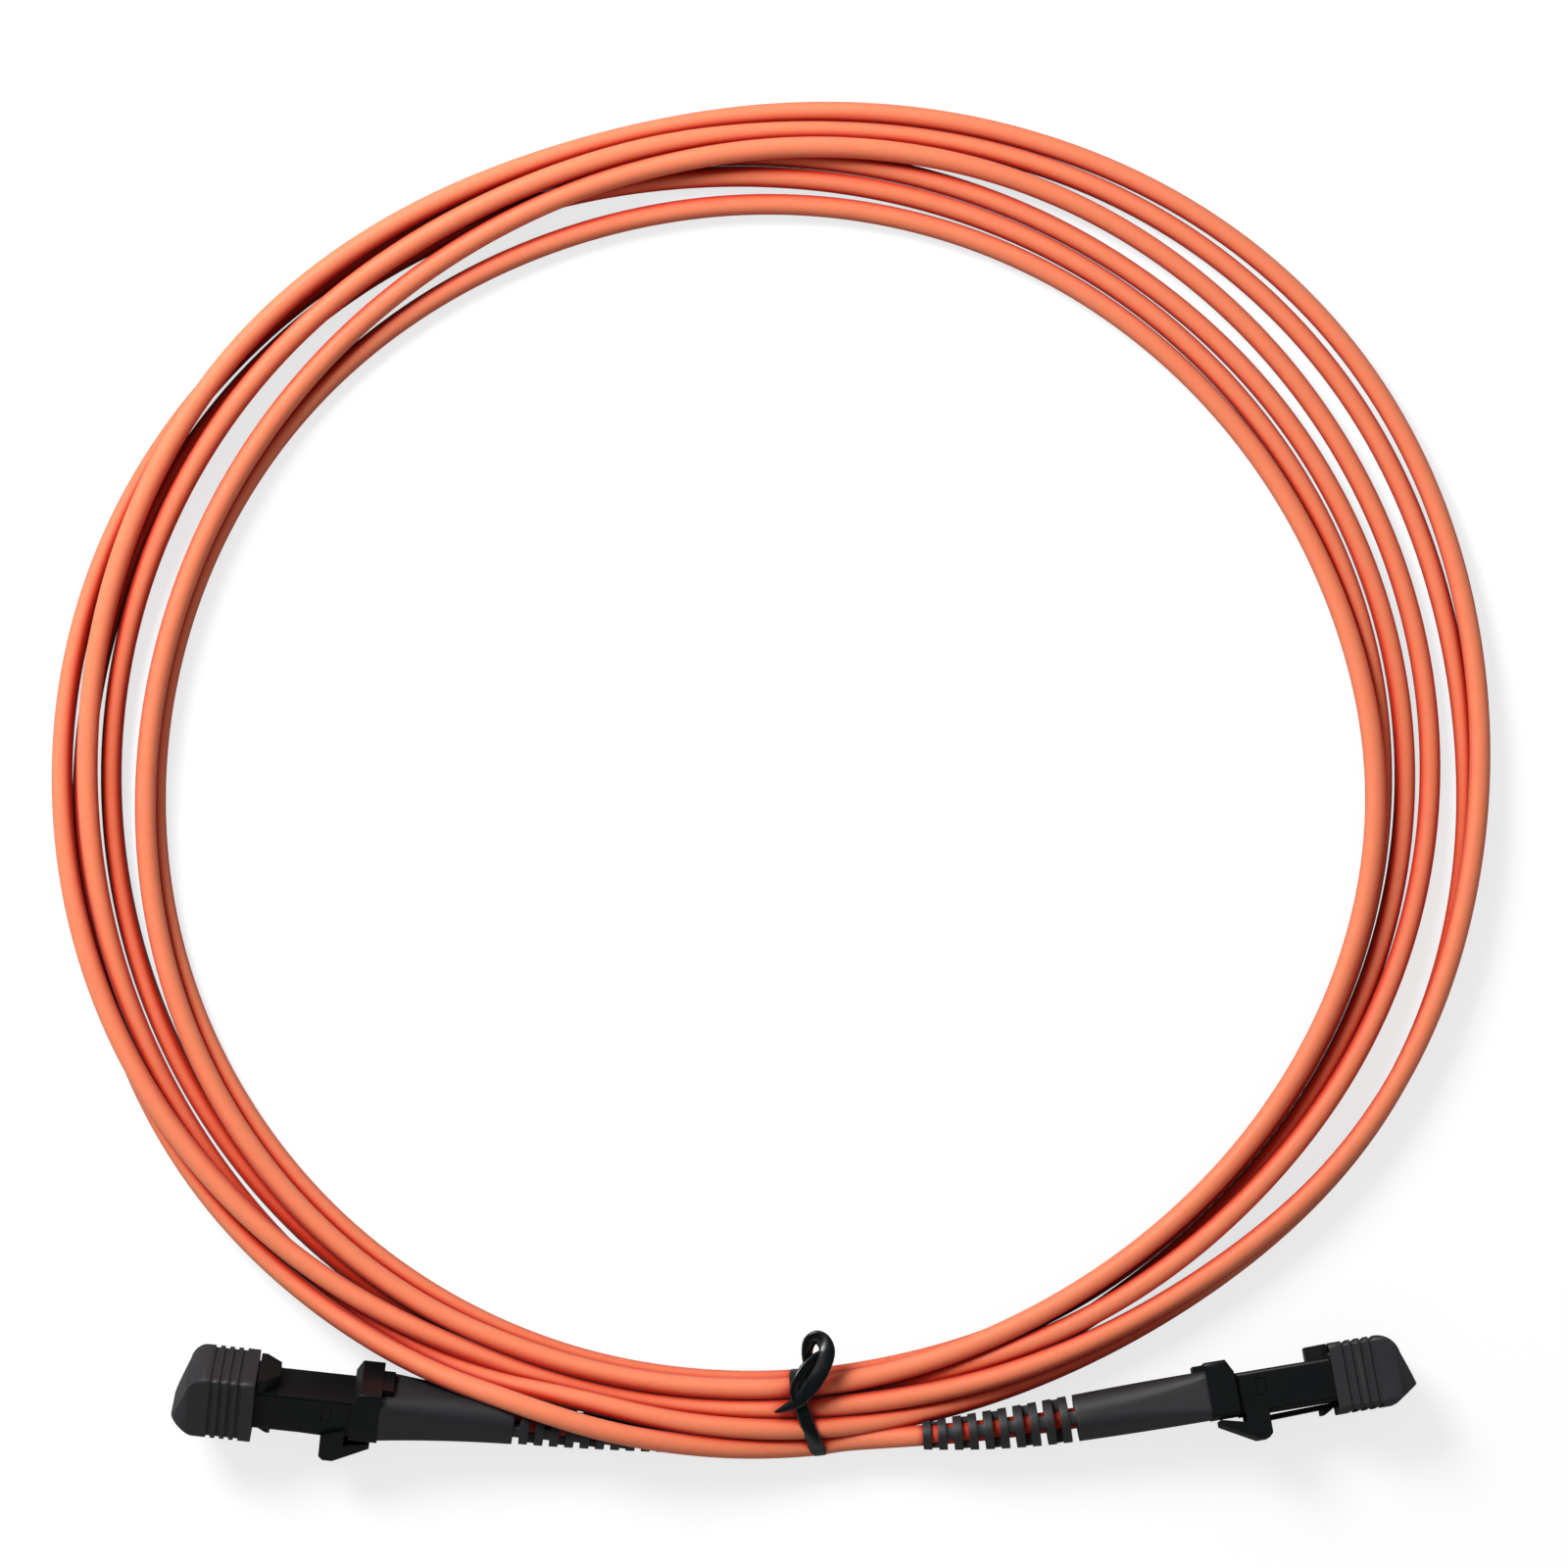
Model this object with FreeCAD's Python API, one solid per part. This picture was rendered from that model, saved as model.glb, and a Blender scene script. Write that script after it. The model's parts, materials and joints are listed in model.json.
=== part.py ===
import FreeCAD, Part
import math
import os

from FreeCAD import Vector

# A two-fibre patch cord, coiled and held by a twist tie, with a latching plug,
# a bend boot and a dust cap on each end. Millimetres, +Z up, lying on z = 0.
# A plug is built along its own axes: X from the cap's tip to the boot's tip,
# Y across the plug, and Z towards the back, the side opposite the latch.

# cable
CABLE_D = 3.0
FIBRE_D = 0.25
FIBRE_PITCH = 0.75
FIBRE_SLACK = 0.1

# dust cap
CAP_LENGTH = 11.5
CAP_WALL = 0.95
CAP_TIP_WALL = 1.8
CAP_CHAMFER_LENGTH = 3.4
CAP_CHAMFER_HEIGHT = 2.3
CAP_SLANT = 1.7
CAP_BACK_ROUND_LENGTH = 3.8
CAP_BACK_ROUND_HEIGHT = 3.0
CAP_ROUND = 0.8
CAP_TIP_ROUND = 2.4
CAP_GROOVES = 4
CAP_GROOVE_FIRST = 5.5
CAP_GROOVE_PITCH = 1.3
CAP_GROOVE_WIDTH = 0.65
CAP_GROOVE_DEPTH = 0.3
CAP_GAP = 0.25

# plug housing
HOUSING_WIDTH = 7.4
NOSE_TOP = 3.2
WAIST_TOP = 2.4
HOUSING_FOOT = 3.7
HOUSING_EDGE = 0.5
SHOULDER_LENGTH = 3.0
SHOULDER_WIDTH = 7.0
SHOULDER_CHAMFER = 1.8
SHOULDER_CHAMFER_LENGTH = 2.2
NOSE_CHAMFER = 1.0
NOSE_TOP_CHAMFER = 1.4
CAVITY_GAP = 0.15
APERTURE_LENGTH = 4.2
WINDOW_LENGTH = 1.4
WINDOW_HEIGHT = 2.3
WINDOW_FROM_COLLAR = 2.8

# ferrule and what floats with it
FERRULE_WIDTH = 4.4
FERRULE_HEIGHT = 2.5
FERRULE_LENGTH = 8.0
FERRULE_PROUD = 0.5
FERRULE_GAP = 0.1
FLANGE_EXTRA_WIDTH = 0.45
FLANGE_EXTRA_HEIGHT = 0.35
GUIDE_HOLE_D = 0.7
GUIDE_HOLE_PITCH = 2.6
KEEPER_LENGTH = 2.2
KEEPER_GAP = 0.2
KEEPER_WINDOW_GAP = 0.06
SLEEVE_LENGTH = 4.4
SLEEVE_WIDTH = 1.6
SLEEVE_HEIGHT = 1.1
SLEEVE_SUNK = 1.2
FLOAT_GAP = 0.05
FLOAT_TRAVEL = 0.8

# spring
SPRING_WIRE = 0.5
SPRING_OD = 3.4
SPRING_TURNS = 5
SPRING_ARCS = 8

# rear body, crimp ring
COLLAR_START = 25.3
COLLAR_LENGTH = 4.0
COLLAR_WIDTH = 9.3
COLLAR_TOP = 4.5
COLLAR_FOOT = 3.5
COLLAR_CHAMFER = 1.0
COLLAR_CHAMFER_HEIGHT = 1.9
COLLAR_EDGE = 0.5
PUSH_LENGTH = 5.2
PUSH_GAP = 0.08
FIBRE_BORE_D = 2.0
NECK_D = 4.4
NECK_LENGTH = 4.6
CRIMP_WALL = 0.45
CRIMP_GAP = 0.05
CRIMP_FRONT_GAP = 0.4
CRIMP_JACKET_LENGTH = 3.2

# bend boot
BOOT_WIDTH = 9.3
BOOT_HEIGHT = 6.8
BOOT_CORNER = 1.2
BOOT_MID_WIDTH = 7.2
BOOT_MID_HEIGHT = 6.8
BOOT_MID_CORNER = 3.0
BOOT_TAPER_LENGTH = 5.0
BOOT_FLAT = 0.3
BOOT_SMOOTH_LENGTH = 19.0
BOOT_RIB_LENGTH = 21.9
BOOT_RIB_R = 3.3
BOOT_TIP_R = 2.0
BOOT_BORE_GAP = 0.1
BOOT_CRIMP_GAP = 0.15
BOOT_RIBS = 10
BOOT_RIB_SHARE = 0.56
BOOT_WEB_WIDTH = 1.7
BOOT_WEB_INSET = 0.12
BOOT_WEB_LIFT = 0.06
BOOT_WEB_REACH = 0.35
BOOT_STEP_LENGTH = 1.6
BOOT_STEP_HEIGHT = 0.9
BOOT_STEP_WIDTH = 5.0
BOOT_STEP_SUNK = 0.25

# latch arm, rooted at the nose, and the trigger, rooted at the collar
ARM_WIDTH = 3.8
ARM_THICKNESS = 0.75
ARM_ROOT = 3.6
ARM_BEND = 2.0
ARM_BEND_DROP = 0.2
ARM_REST_GAP = 0.15
ARM_OVERLAP = 0.7
ARM_TAIL_DROP = 0.3
ARM_SIDE_GAP = 0.25
ARM_PRESS = 1.5
TOOTH_FROM_CAP = 0.5
TOOTH_LENGTH = 2.0
TOOTH_HEIGHT = 0.8
TOOTH_LAND = 0.6
TOOTH_NECK_LENGTH = 0.4
TOOTH_NECK_DEPTH = 0.25
TRIGGER_LENGTH = 7.0
TRIGGER_TIP = 2.0
TRIGGER_INNER_WIDTH = 7.7
TRIGGER_NIP = 0.6
TRIGGER_REACH = 7.3
TRIGGER_PAST_COLLAR = -1.0
TRIGGER_LIFT = 1.7
TRIGGER_SKIN = 0.8
TRIGGER_GAP = 0.25
TRIGGER_CHEEK = 0.55
TRIGGER_FRONT_WALL = 1.0
TRIGGER_WING_FRONT = 3.4
TRIGGER_WING_REAR = 2.2
TRIGGER_WING_GAP = 0.7
TRIGGER_DIP = 0.9
TRIGGER_ROOT_WALL = 0.6
PUSHER_LENGTH = 1.0

# how far the pieces of one solid reach into each other, and cutters past a face
JOIN = 0.5
PAST = 1.0

# how the plugs lie: the cap's tip, the heading of the axis, the roll and the pitch
LEFT_TIP = Vector(-84.5, -85.65, 8.5)
LEFT_HEADING = -6.6
LEFT_ROLL = 26.0
LEFT_PITCH = 3.2
LEFT_BEND = -1.5
RIGHT_TIP = Vector(90.96, -82.95, 5.6)
RIGHT_HEADING = 189.5
RIGHT_ROLL = -10.0
RIGHT_PITCH = 0.0
RIGHT_BEND = 6.0

# coil: outer and inner radius at compass angles round its middle
COIL_OUTER = [
    (0, 102.3), (30, 104.2), (60, 101.4), (90, 96.3), (120, 96.7), (150, 100.2),
    (180, 102.5), (210, 101.8), (240, 99.1), (262, 96.4),
]
COIL_OUTER_RIGHT = [(279, 92.3), (286, 92.5), (300, 94.9), (330, 101.0)]
COIL_INNER = [
    (0, 85.0), (30, 82.3), (60, 81.2), (90, 80.9), (120, 82.2), (150, 84.7),
    (180, 86.7), (210, 87.6), (240, 86.2), (270, 84.8), (300, 83.7), (330, 84.6),
]
COIL_HEIGHT = 5.8
HUMP_TOP = 11.2
HUMP_INNER_Y = -86.5
HUMP_PROFILE = [(-78.0, 0.0), (-58.0, 0.55), (-42.0, 1.0), (-30.0, 0.93), (-14.0, 0.4), (2.0, 0.0)]
HUMP_SUNK = 0.5
HUMP_WIDTH = 30.0
COIL_GAP = 0.3
TAIL_JOIN_X = 10.0
TAIL_JOIN = Vector(TAIL_JOIN_X, -94.35, 4.05)
TAIL_STUB = 1.0
TAIL_ROOM = 0.2
ARC_SHARE = 0.45

# twist tie
TIE_X = 5.9
TIE_TURN = 20.0
TIE_WIDTH = 2.3
TIE_THICKNESS = 0.7
TIE_ROUND = 0.63
TIE_INNER_Y = -84.4
TIE_OUTER_Y = -96.1
TIE_ROOM = 0.1
TIE_STEM_R = 1.9
TIE_STEM_TIP_R = 1.3
TIE_STEM_FOOT = Vector(4.2, -89.6, 7.5)
TIE_STEM_HEAD = Vector(6.9, -80.6, 7.6)
TIE_TAIL_R = 0.8
TIE_TAIL_TIP_R = 0.5
TIE_TAIL_END = Vector(0.2, -90.6, 7.6)

# worked out from the sizes above
ARM_INNER = HOUSING_FOOT + ARM_REST_GAP
ARM_OUTER = ARM_INNER + ARM_THICKNESS
CAP_INNER_WIDTH = HOUSING_WIDTH + 2*CAP_GAP
CAP_INNER_BACK = NOSE_TOP + CAP_GAP
CAP_INNER_FOOT = ARM_OUTER - TOOTH_NECK_DEPTH + CAP_GAP
CAP_WIDTH = CAP_INNER_WIDTH + 2*CAP_WALL
CAP_BACK = CAP_INNER_BACK + CAP_WALL
CAP_FOOT = CAP_INNER_FOOT + CAP_WALL
NOSE_FRONT = CAP_TIP_WALL + CAP_GAP + FERRULE_PROUD
SHOULDER_FRONT = CAP_LENGTH + CAP_GAP
CAVITY_WIDTH = FERRULE_WIDTH + 2*(FLANGE_EXTRA_WIDTH + CAVITY_GAP)
CAVITY_HEIGHT = FERRULE_HEIGHT + 2*(FLANGE_EXTRA_HEIGHT + CAVITY_GAP)
SEAT_U = NOSE_FRONT + APERTURE_LENGTH
FLANGE_U = SEAT_U + FLOAT_GAP
FERRULE_FRONT = NOSE_FRONT - FERRULE_PROUD
FERRULE_REAR = FERRULE_FRONT + FERRULE_LENGTH
KEEPER_REAR = FERRULE_REAR + KEEPER_LENGTH
PUSH_FRONT = COLLAR_START - PUSH_LENGTH
COLLAR_END = COLLAR_START + COLLAR_LENGTH
WINDOW_END = COLLAR_START - WINDOW_FROM_COLLAR
NECK_END = COLLAR_END + NECK_LENGTH
CRIMP_END = NECK_END + CRIMP_JACKET_LENGTH
CRIMP_R = NECK_D/2 + CRIMP_GAP + CRIMP_WALL
BOOT_START = COLLAR_END
RIB_START = BOOT_START + BOOT_SMOOTH_LENGTH
BOOT_END = RIB_START + BOOT_RIB_LENGTH
BORE_R = CABLE_D/2 + BOOT_BORE_GAP
CHANNEL_FLOOR = ARM_INNER - ARM_PRESS - ARM_SIDE_GAP
CHANNEL_WIDTH = ARM_WIDTH + 2*ARM_SIDE_GAP
TOOTH_FRONT = CAP_LENGTH + TOOTH_FROM_CAP
TRIGGER_PIVOT = COLLAR_END + TRIGGER_PAST_COLLAR
TRIGGER_ROOT = COLLAR_FOOT + TRIGGER_GAP
TRIGGER_FRONT = TRIGGER_PIVOT - TRIGGER_LENGTH
ARM_TAIL = TRIGGER_FRONT + PUSHER_LENGTH + ARM_OVERLAP
TIE_TOP = COIL_HEIGHT + COIL_GAP + TIE_THICKNESS


def box(x0, x1, y0, y1, z0, z1):
    """A block between two corners."""
    return Part.makeBox(x1 - x0, y1 - y0, z1 - z0, Vector(x0, y0, z0))


def block(x0, x1, width, z0, z1):
    """A block centred across the plug."""
    return box(x0, x1, -width/2, width/2, z0, z1)


def rod(x0, x1, radius, y=0.0, z=0.0):
    """A round bar along the plug."""
    return Part.makeCylinder(radius, x1 - x0, Vector(x0, y, z), Vector(1, 0, 0))


def edges_along(shape, axis, limit=1e-6):
    """The straight edges that run along an axis."""
    found = []
    for edge in shape.Edges:
        if not isinstance(edge.Curve, Part.Line):
            continue
        way = edge.Vertexes[-1].Point.sub(edge.Vertexes[0].Point)
        if way.Length > limit and abs(abs(way.dot(axis)) - way.Length) < limit*way.Length:
            found.append(edge)
    return found


def rounded_bar(x0, x1, width, z0, z1, radius):
    """A block along the plug whose four long edges are round."""
    bar = block(x0, x1, width, z0, z1)
    return bar.makeFillet(radius, edges_along(bar, Vector(1, 0, 0)))


def plate(points, width):
    """A side profile of (x, z) points, made as wide as the plug piece."""
    corners = [Vector(x, -width/2, z) for x, z in points]
    face = Part.Face(Part.makePolygon(corners + corners[:1]))
    return face.extrude(Vector(0, width, 0))


def rounded_wire(x, width, height, radius):
    """A rounded rectangle standing across the plug at x."""
    bar = block(x, x + 1, width, -height/2, height/2)
    bar = bar.makeFillet(radius, edges_along(bar, Vector(1, 0, 0)))
    for face in bar.Faces:
        if abs(face.CenterOfMass.x - x) < 1e-6:
            return face.OuterWire
    raise ValueError("no end face")


# dust cap
def make_dust_cap():
    """A ribbed cap, open at the plug's end."""
    cap = rounded_bar(0, CAP_LENGTH, CAP_WIDTH, -CAP_FOOT, CAP_BACK, CAP_ROUND)
    cap = cap.common(cap_outline())
    for side in (-1, 1):
        cap = cap.cut(round_off(side))
    for i in range(CAP_GROOVES):
        start = CAP_GROOVE_FIRST + i*CAP_GROOVE_PITCH - CAP_GROOVE_WIDTH/2
        band = block(start, start + CAP_GROOVE_WIDTH, 2*CAP_WIDTH, -2*CAP_FOOT, 2*CAP_BACK)
        core = rounded_bar(
            start, start + CAP_GROOVE_WIDTH, CAP_WIDTH - 2*CAP_GROOVE_DEPTH,
            -CAP_FOOT + CAP_GROOVE_DEPTH, CAP_BACK - CAP_GROOVE_DEPTH, CAP_ROUND - CAP_GROOVE_DEPTH,
        )
        cap = cap.cut(band.cut(core))
    length, height = CAP_CHAMFER_LENGTH, CAP_CHAMFER_HEIGHT
    grow = 1 + CAP_WALL*math.hypot(1/length, 1/height)
    top = CAP_INNER_BACK - NOSE_TOP_CHAMFER
    hollow = plate([
        (CAP_TIP_WALL, -CAP_INNER_FOOT), (CAP_TIP_WALL, top),
        (CAP_TIP_WALL + NOSE_TOP_CHAMFER, CAP_INNER_BACK),
        (CAP_LENGTH + PAST, CAP_INNER_BACK), (CAP_LENGTH + PAST, -CAP_INNER_FOOT),
    ], CAP_INNER_WIDTH)
    tip = plate([
        (0, -CAP_FOOT), (grow*length, -CAP_FOOT), (0, -CAP_FOOT + grow*height),
    ], 2*CAP_WIDTH)
    return cap.cut(hollow.cut(tip))


def cap_outline():
    """The cap seen from its side: a slanting tip, a round back corner and a chamfered foot."""
    start = Vector(CAP_SLANT, 0, CAP_BACK - CAP_BACK_ROUND_HEIGHT)
    end = Vector(CAP_SLANT + CAP_BACK_ROUND_LENGTH, 0, CAP_BACK)
    middle = Vector(
        end.x - CAP_BACK_ROUND_LENGTH*math.sqrt(0.5), 0,
        start.z + CAP_BACK_ROUND_HEIGHT*math.sqrt(0.5),
    )
    corners = [
        end, Vector(CAP_LENGTH, 0, CAP_BACK), Vector(CAP_LENGTH, 0, -CAP_FOOT),
        Vector(CAP_CHAMFER_LENGTH, 0, -CAP_FOOT), Vector(0, 0, -CAP_FOOT + CAP_CHAMFER_HEIGHT), start,
    ]
    edges = [Part.LineSegment(a, b).toShape() for a, b in zip(corners, corners[1:])]
    edges.append(Part.Arc(start, middle, end).toShape())
    face = Part.Face(Part.Wire(edges))
    face.translate(Vector(0, -CAP_WIDTH, 0))
    return face.extrude(Vector(0, 2*CAP_WIDTH, 0))


def round_off(side):
    """What the cap loses where its tip is rounded towards one side."""
    r = CAP_TIP_ROUND
    y = side*(CAP_WIDTH/2 - r)
    far = side*CAP_WIDTH
    square = box(-PAST, r, min(y, far), max(y, far), -2*CAP_FOOT, 2*CAP_BACK)
    post = Part.makeCylinder(r, 4*CAP_FOOT, Vector(r, y, -2*CAP_FOOT))
    return square.cut(post)


# plug housing
def make_housing():
    """The plug's body: a nose, a shoulder behind the cap, and a waist up to the collar."""
    nose = rounded_bar(
        NOSE_FRONT, SHOULDER_FRONT, HOUSING_WIDTH, -HOUSING_FOOT, NOSE_TOP, HOUSING_EDGE,
    )
    waist = rounded_bar(
        SHOULDER_FRONT, COLLAR_START, HOUSING_WIDTH, -HOUSING_FOOT, WAIST_TOP, HOUSING_EDGE,
    )
    end = SHOULDER_FRONT + SHOULDER_LENGTH
    shoulder = block(SHOULDER_FRONT, end, SHOULDER_WIDTH, 0, CAP_BACK)
    shoulder = shoulder.cut([shoulder_corner(end, side) for side in (-1, 1)])
    body = nose.fuse([waist, shoulder])
    body = body.cut(plate([
        (NOSE_FRONT, NOSE_TOP), (NOSE_FRONT + NOSE_TOP_CHAMFER, NOSE_TOP),
        (NOSE_FRONT, NOSE_TOP - NOSE_TOP_CHAMFER),
    ], 2*HOUSING_WIDTH))
    body = body.cut(plate([
        (NOSE_FRONT, -HOUSING_FOOT), (NOSE_FRONT + NOSE_CHAMFER, -HOUSING_FOOT),
        (NOSE_FRONT, -HOUSING_FOOT + NOSE_CHAMFER),
    ], 2*HOUSING_WIDTH))
    half = CAVITY_HEIGHT/2
    body = body.cut(block(SEAT_U, COLLAR_START + PAST, CAVITY_WIDTH, -half, half))
    aperture_half = FERRULE_HEIGHT/2 + FERRULE_GAP
    body = body.cut(block(
        0, SEAT_U + PAST, FERRULE_WIDTH + 2*FERRULE_GAP, -aperture_half, aperture_half,
    ))
    body = body.cut(block(
        ARM_ROOT, COLLAR_START + PAST, CHANNEL_WIDTH, -2*HOUSING_FOOT, -CHANNEL_FLOOR,
    ))
    body = body.cut(block(
        WINDOW_END - WINDOW_LENGTH, WINDOW_END, 2*HOUSING_WIDTH,
        -WINDOW_HEIGHT/2, WINDOW_HEIGHT/2,
    ))
    return body.removeSplitter()


def shoulder_corner(end, side):
    """What the shoulder block loses at one rear corner."""
    y = side*SHOULDER_WIDTH/2
    corners = [
        Vector(end, y, WAIST_TOP), Vector(end - SHOULDER_CHAMFER_LENGTH, y, WAIST_TOP),
        Vector(end, y - side*SHOULDER_CHAMFER, WAIST_TOP),
    ]
    return Part.Face(Part.makePolygon(corners + corners[:1])).extrude(Vector(0, 0, CAP_BACK))


# latch arm
def make_latch_arm():
    """A springy arm from the nose, with the tooth that locks in the socket."""
    root = ARM_ROOT + ARM_SIDE_GAP
    bend = root + ARM_BEND
    back = -CHANNEL_FLOOR - ARM_SIDE_GAP
    bend_back = back - ARM_BEND_DROP
    tooth_end = TOOTH_FRONT + TOOTH_LENGTH
    tooth_foot = -ARM_OUTER - TOOTH_HEIGHT
    profile = [
        (root, back), (bend, bend_back), (TOOTH_FRONT, -ARM_INNER),
        (ARM_TAIL, -ARM_INNER - ARM_TAIL_DROP), (ARM_TAIL, -ARM_OUTER - ARM_TAIL_DROP),
        (tooth_end, -ARM_OUTER), (tooth_end, tooth_foot),
        (tooth_end - TOOTH_LAND, tooth_foot),
        (TOOTH_FRONT - TOOTH_NECK_LENGTH, -ARM_OUTER + TOOTH_NECK_DEPTH),
        (bend, bend_back - ARM_THICKNESS), (root, back - ARM_THICKNESS),
    ]
    return plate(profile, ARM_WIDTH)


# trigger
def make_trigger():
    """The thumb ramp behind the latch arm: it presses the arm's tail, between two side wings."""
    wing_end = COLLAR_START - TRIGGER_WING_GAP
    body = plate([
        (TRIGGER_FRONT, -TRIGGER_WING_FRONT), (TRIGGER_FRONT, -TRIGGER_REACH + TRIGGER_NIP),
        (TRIGGER_FRONT + TRIGGER_NIP, -TRIGGER_REACH),
        (TRIGGER_FRONT + TRIGGER_TIP, -TRIGGER_REACH),
        (TRIGGER_PIVOT, -TRIGGER_ROOT - TRIGGER_SKIN), (TRIGGER_PIVOT, -TRIGGER_ROOT),
        (wing_end, -TRIGGER_ROOT - TRIGGER_DIP), (wing_end, -TRIGGER_WING_REAR),
    ], TRIGGER_INNER_WIDTH + 2*TRIGGER_CHEEK)
    inner = TRIGGER_FRONT + TRIGGER_FRONT_WALL
    pocket_end = TRIGGER_PIVOT - TRIGGER_FRONT_WALL
    pocket = plate([
        (inner, 0), (inner, -TRIGGER_REACH + TRIGGER_SKIN),
        (TRIGGER_FRONT + TRIGGER_TIP, -TRIGGER_REACH + TRIGGER_SKIN),
        (pocket_end, -TRIGGER_ROOT - TRIGGER_SKIN + TRIGGER_ROOT_WALL), (pocket_end, 0),
    ], TRIGGER_INNER_WIDTH)
    front = block(
        TRIGGER_FRONT - PAST, inner + PAST, TRIGGER_INNER_WIDTH, -HOUSING_FOOT - TRIGGER_LIFT, 0,
    )
    pusher = block(
        TRIGGER_FRONT, TRIGGER_FRONT + PUSHER_LENGTH, ARM_WIDTH - 2*ARM_SIDE_GAP,
        -TRIGGER_REACH + TRIGGER_SKIN/2, -ARM_OUTER - ARM_TAIL_DROP - TRIGGER_GAP,
    )
    return body.cut([pocket, front]).fuse(pusher).removeSplitter()


# ferrule and what floats with it
def pair_of_rods(x0, x1, diameter, pitch):
    """Two round bars side by side across the plug."""
    return [rod(x0, x1, diameter/2, y=side*pitch/2) for side in (-1, 1)]


def make_ferrule():
    """The moulded ferrule: a narrow front and a wider flange, with two guide holes."""
    front = block(
        FERRULE_FRONT, FLANGE_U + JOIN, FERRULE_WIDTH, -FERRULE_HEIGHT/2, FERRULE_HEIGHT/2,
    )
    half = FERRULE_HEIGHT/2 + FLANGE_EXTRA_HEIGHT
    flange = block(
        FLANGE_U, FERRULE_REAR, FERRULE_WIDTH + 2*FLANGE_EXTRA_WIDTH, -half, half,
    )
    pocket = block(
        FERRULE_REAR - SLEEVE_SUNK, FERRULE_REAR + PAST, SLEEVE_WIDTH,
        -SLEEVE_HEIGHT/2, SLEEVE_HEIGHT/2,
    )
    holes = pair_of_rods(FERRULE_FRONT - PAST, FERRULE_REAR + PAST, GUIDE_HOLE_D, GUIDE_HOLE_PITCH)
    holes += pair_of_rods(FERRULE_FRONT - PAST, FERRULE_REAR, FIBRE_D, FIBRE_PITCH)
    return front.fuse(flange).removeSplitter().cut([pocket] + holes)


def make_ferrule_sleeve():
    """The soft sleeve that leads the two fibres into the ferrule."""
    start = FERRULE_REAR - SLEEVE_SUNK
    end = start + SLEEVE_LENGTH
    sleeve = block(start, end, SLEEVE_WIDTH, -SLEEVE_HEIGHT/2, SLEEVE_HEIGHT/2)
    return sleeve.cut(pair_of_rods(start - PAST, end + PAST, FIBRE_D, FIBRE_PITCH))


def make_pin_keeper():
    """The plate behind the ferrule, where a pinned plug would hold its pins."""
    half = CAVITY_HEIGHT/2 - KEEPER_GAP
    keeper = block(FERRULE_REAR, KEEPER_REAR, CAVITY_WIDTH - 2*KEEPER_GAP, -half, half)
    start = FERRULE_REAR - PAST
    end = KEEPER_REAR + PAST
    window_half = SLEEVE_HEIGHT/2 + KEEPER_WINDOW_GAP
    window = block(start, end, SLEEVE_WIDTH + 2*KEEPER_WINDOW_GAP, -window_half, window_half)
    return keeper.cut([window] + pair_of_rods(start, end, GUIDE_HOLE_D, GUIDE_HOLE_PITCH))


def make_fibres():
    """The two bare fibres, from the ferrule's face almost to the jacket."""
    end = NECK_END - FLOAT_TRAVEL - FIBRE_SLACK
    return Part.makeCompound(pair_of_rods(FERRULE_FRONT, end, FIBRE_D, FIBRE_PITCH))


def make_spring():
    """The round-wire spring that pushes the ferrule forwards, bent in short arcs along its helix."""
    wire_r = SPRING_WIRE/2
    coil_r = SPRING_OD/2 - wire_r
    pitch = (PUSH_FRONT - KEEPER_REAR - SPRING_WIRE)/SPRING_TURNS

    def on_helix(arcs):
        turns = arcs/SPRING_ARCS
        angle = 2*math.pi*turns
        along = KEEPER_REAR + wire_r + pitch*turns
        return Vector(along, coil_r*math.sin(angle), coil_r*math.cos(angle))

    path = [
        Part.Arc(on_helix(k), on_helix(k + 0.5), on_helix(k + 1)).toShape()
        for k in range(round(SPRING_TURNS*SPRING_ARCS))
    ]
    start = path[0].tangentAt(path[0].FirstParameter)
    circle = Part.Wire(Part.makeCircle(wire_r, on_helix(0), start))
    return Part.Wire(path).makePipeShell([circle], True, False)


# rear body and crimp ring
def make_rear_body():
    """The collar with its snap block inside the housing and its crimp neck behind."""
    end = COLLAR_END
    collar = rounded_bar(
        COLLAR_START, end, COLLAR_WIDTH, -COLLAR_FOOT, COLLAR_TOP, COLLAR_EDGE,
    )
    corner = plate([
        (COLLAR_START, COLLAR_TOP), (COLLAR_START + COLLAR_CHAMFER, COLLAR_TOP),
        (COLLAR_START, COLLAR_TOP - COLLAR_CHAMFER_HEIGHT),
    ], 2*COLLAR_WIDTH)
    collar = collar.cut(corner)
    push = block(
        PUSH_FRONT, COLLAR_START + JOIN, CAVITY_WIDTH - 2*PUSH_GAP,
        -CAVITY_HEIGHT/2 + PUSH_GAP, CAVITY_HEIGHT/2 - PUSH_GAP,
    )
    tabs = block(
        WINDOW_END - WINDOW_LENGTH + PUSH_GAP, WINDOW_END - PUSH_GAP, HOUSING_WIDTH,
        -WINDOW_HEIGHT/2 + PUSH_GAP, WINDOW_HEIGHT/2 - PUSH_GAP,
    )
    neck = rod(end - JOIN, NECK_END, NECK_D/2)
    step = block(
        end - JOIN, end + BOOT_STEP_LENGTH, BOOT_STEP_WIDTH,
        BOOT_HEIGHT/2 - BOOT_STEP_SUNK, BOOT_HEIGHT/2 + BOOT_STEP_HEIGHT,
    )
    body = collar.fuse([push, tabs, neck, step])
    body = body.cut(rod(PUSH_FRONT - PAST, NECK_END + PAST, FIBRE_BORE_D/2))
    return body.removeSplitter()


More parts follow.
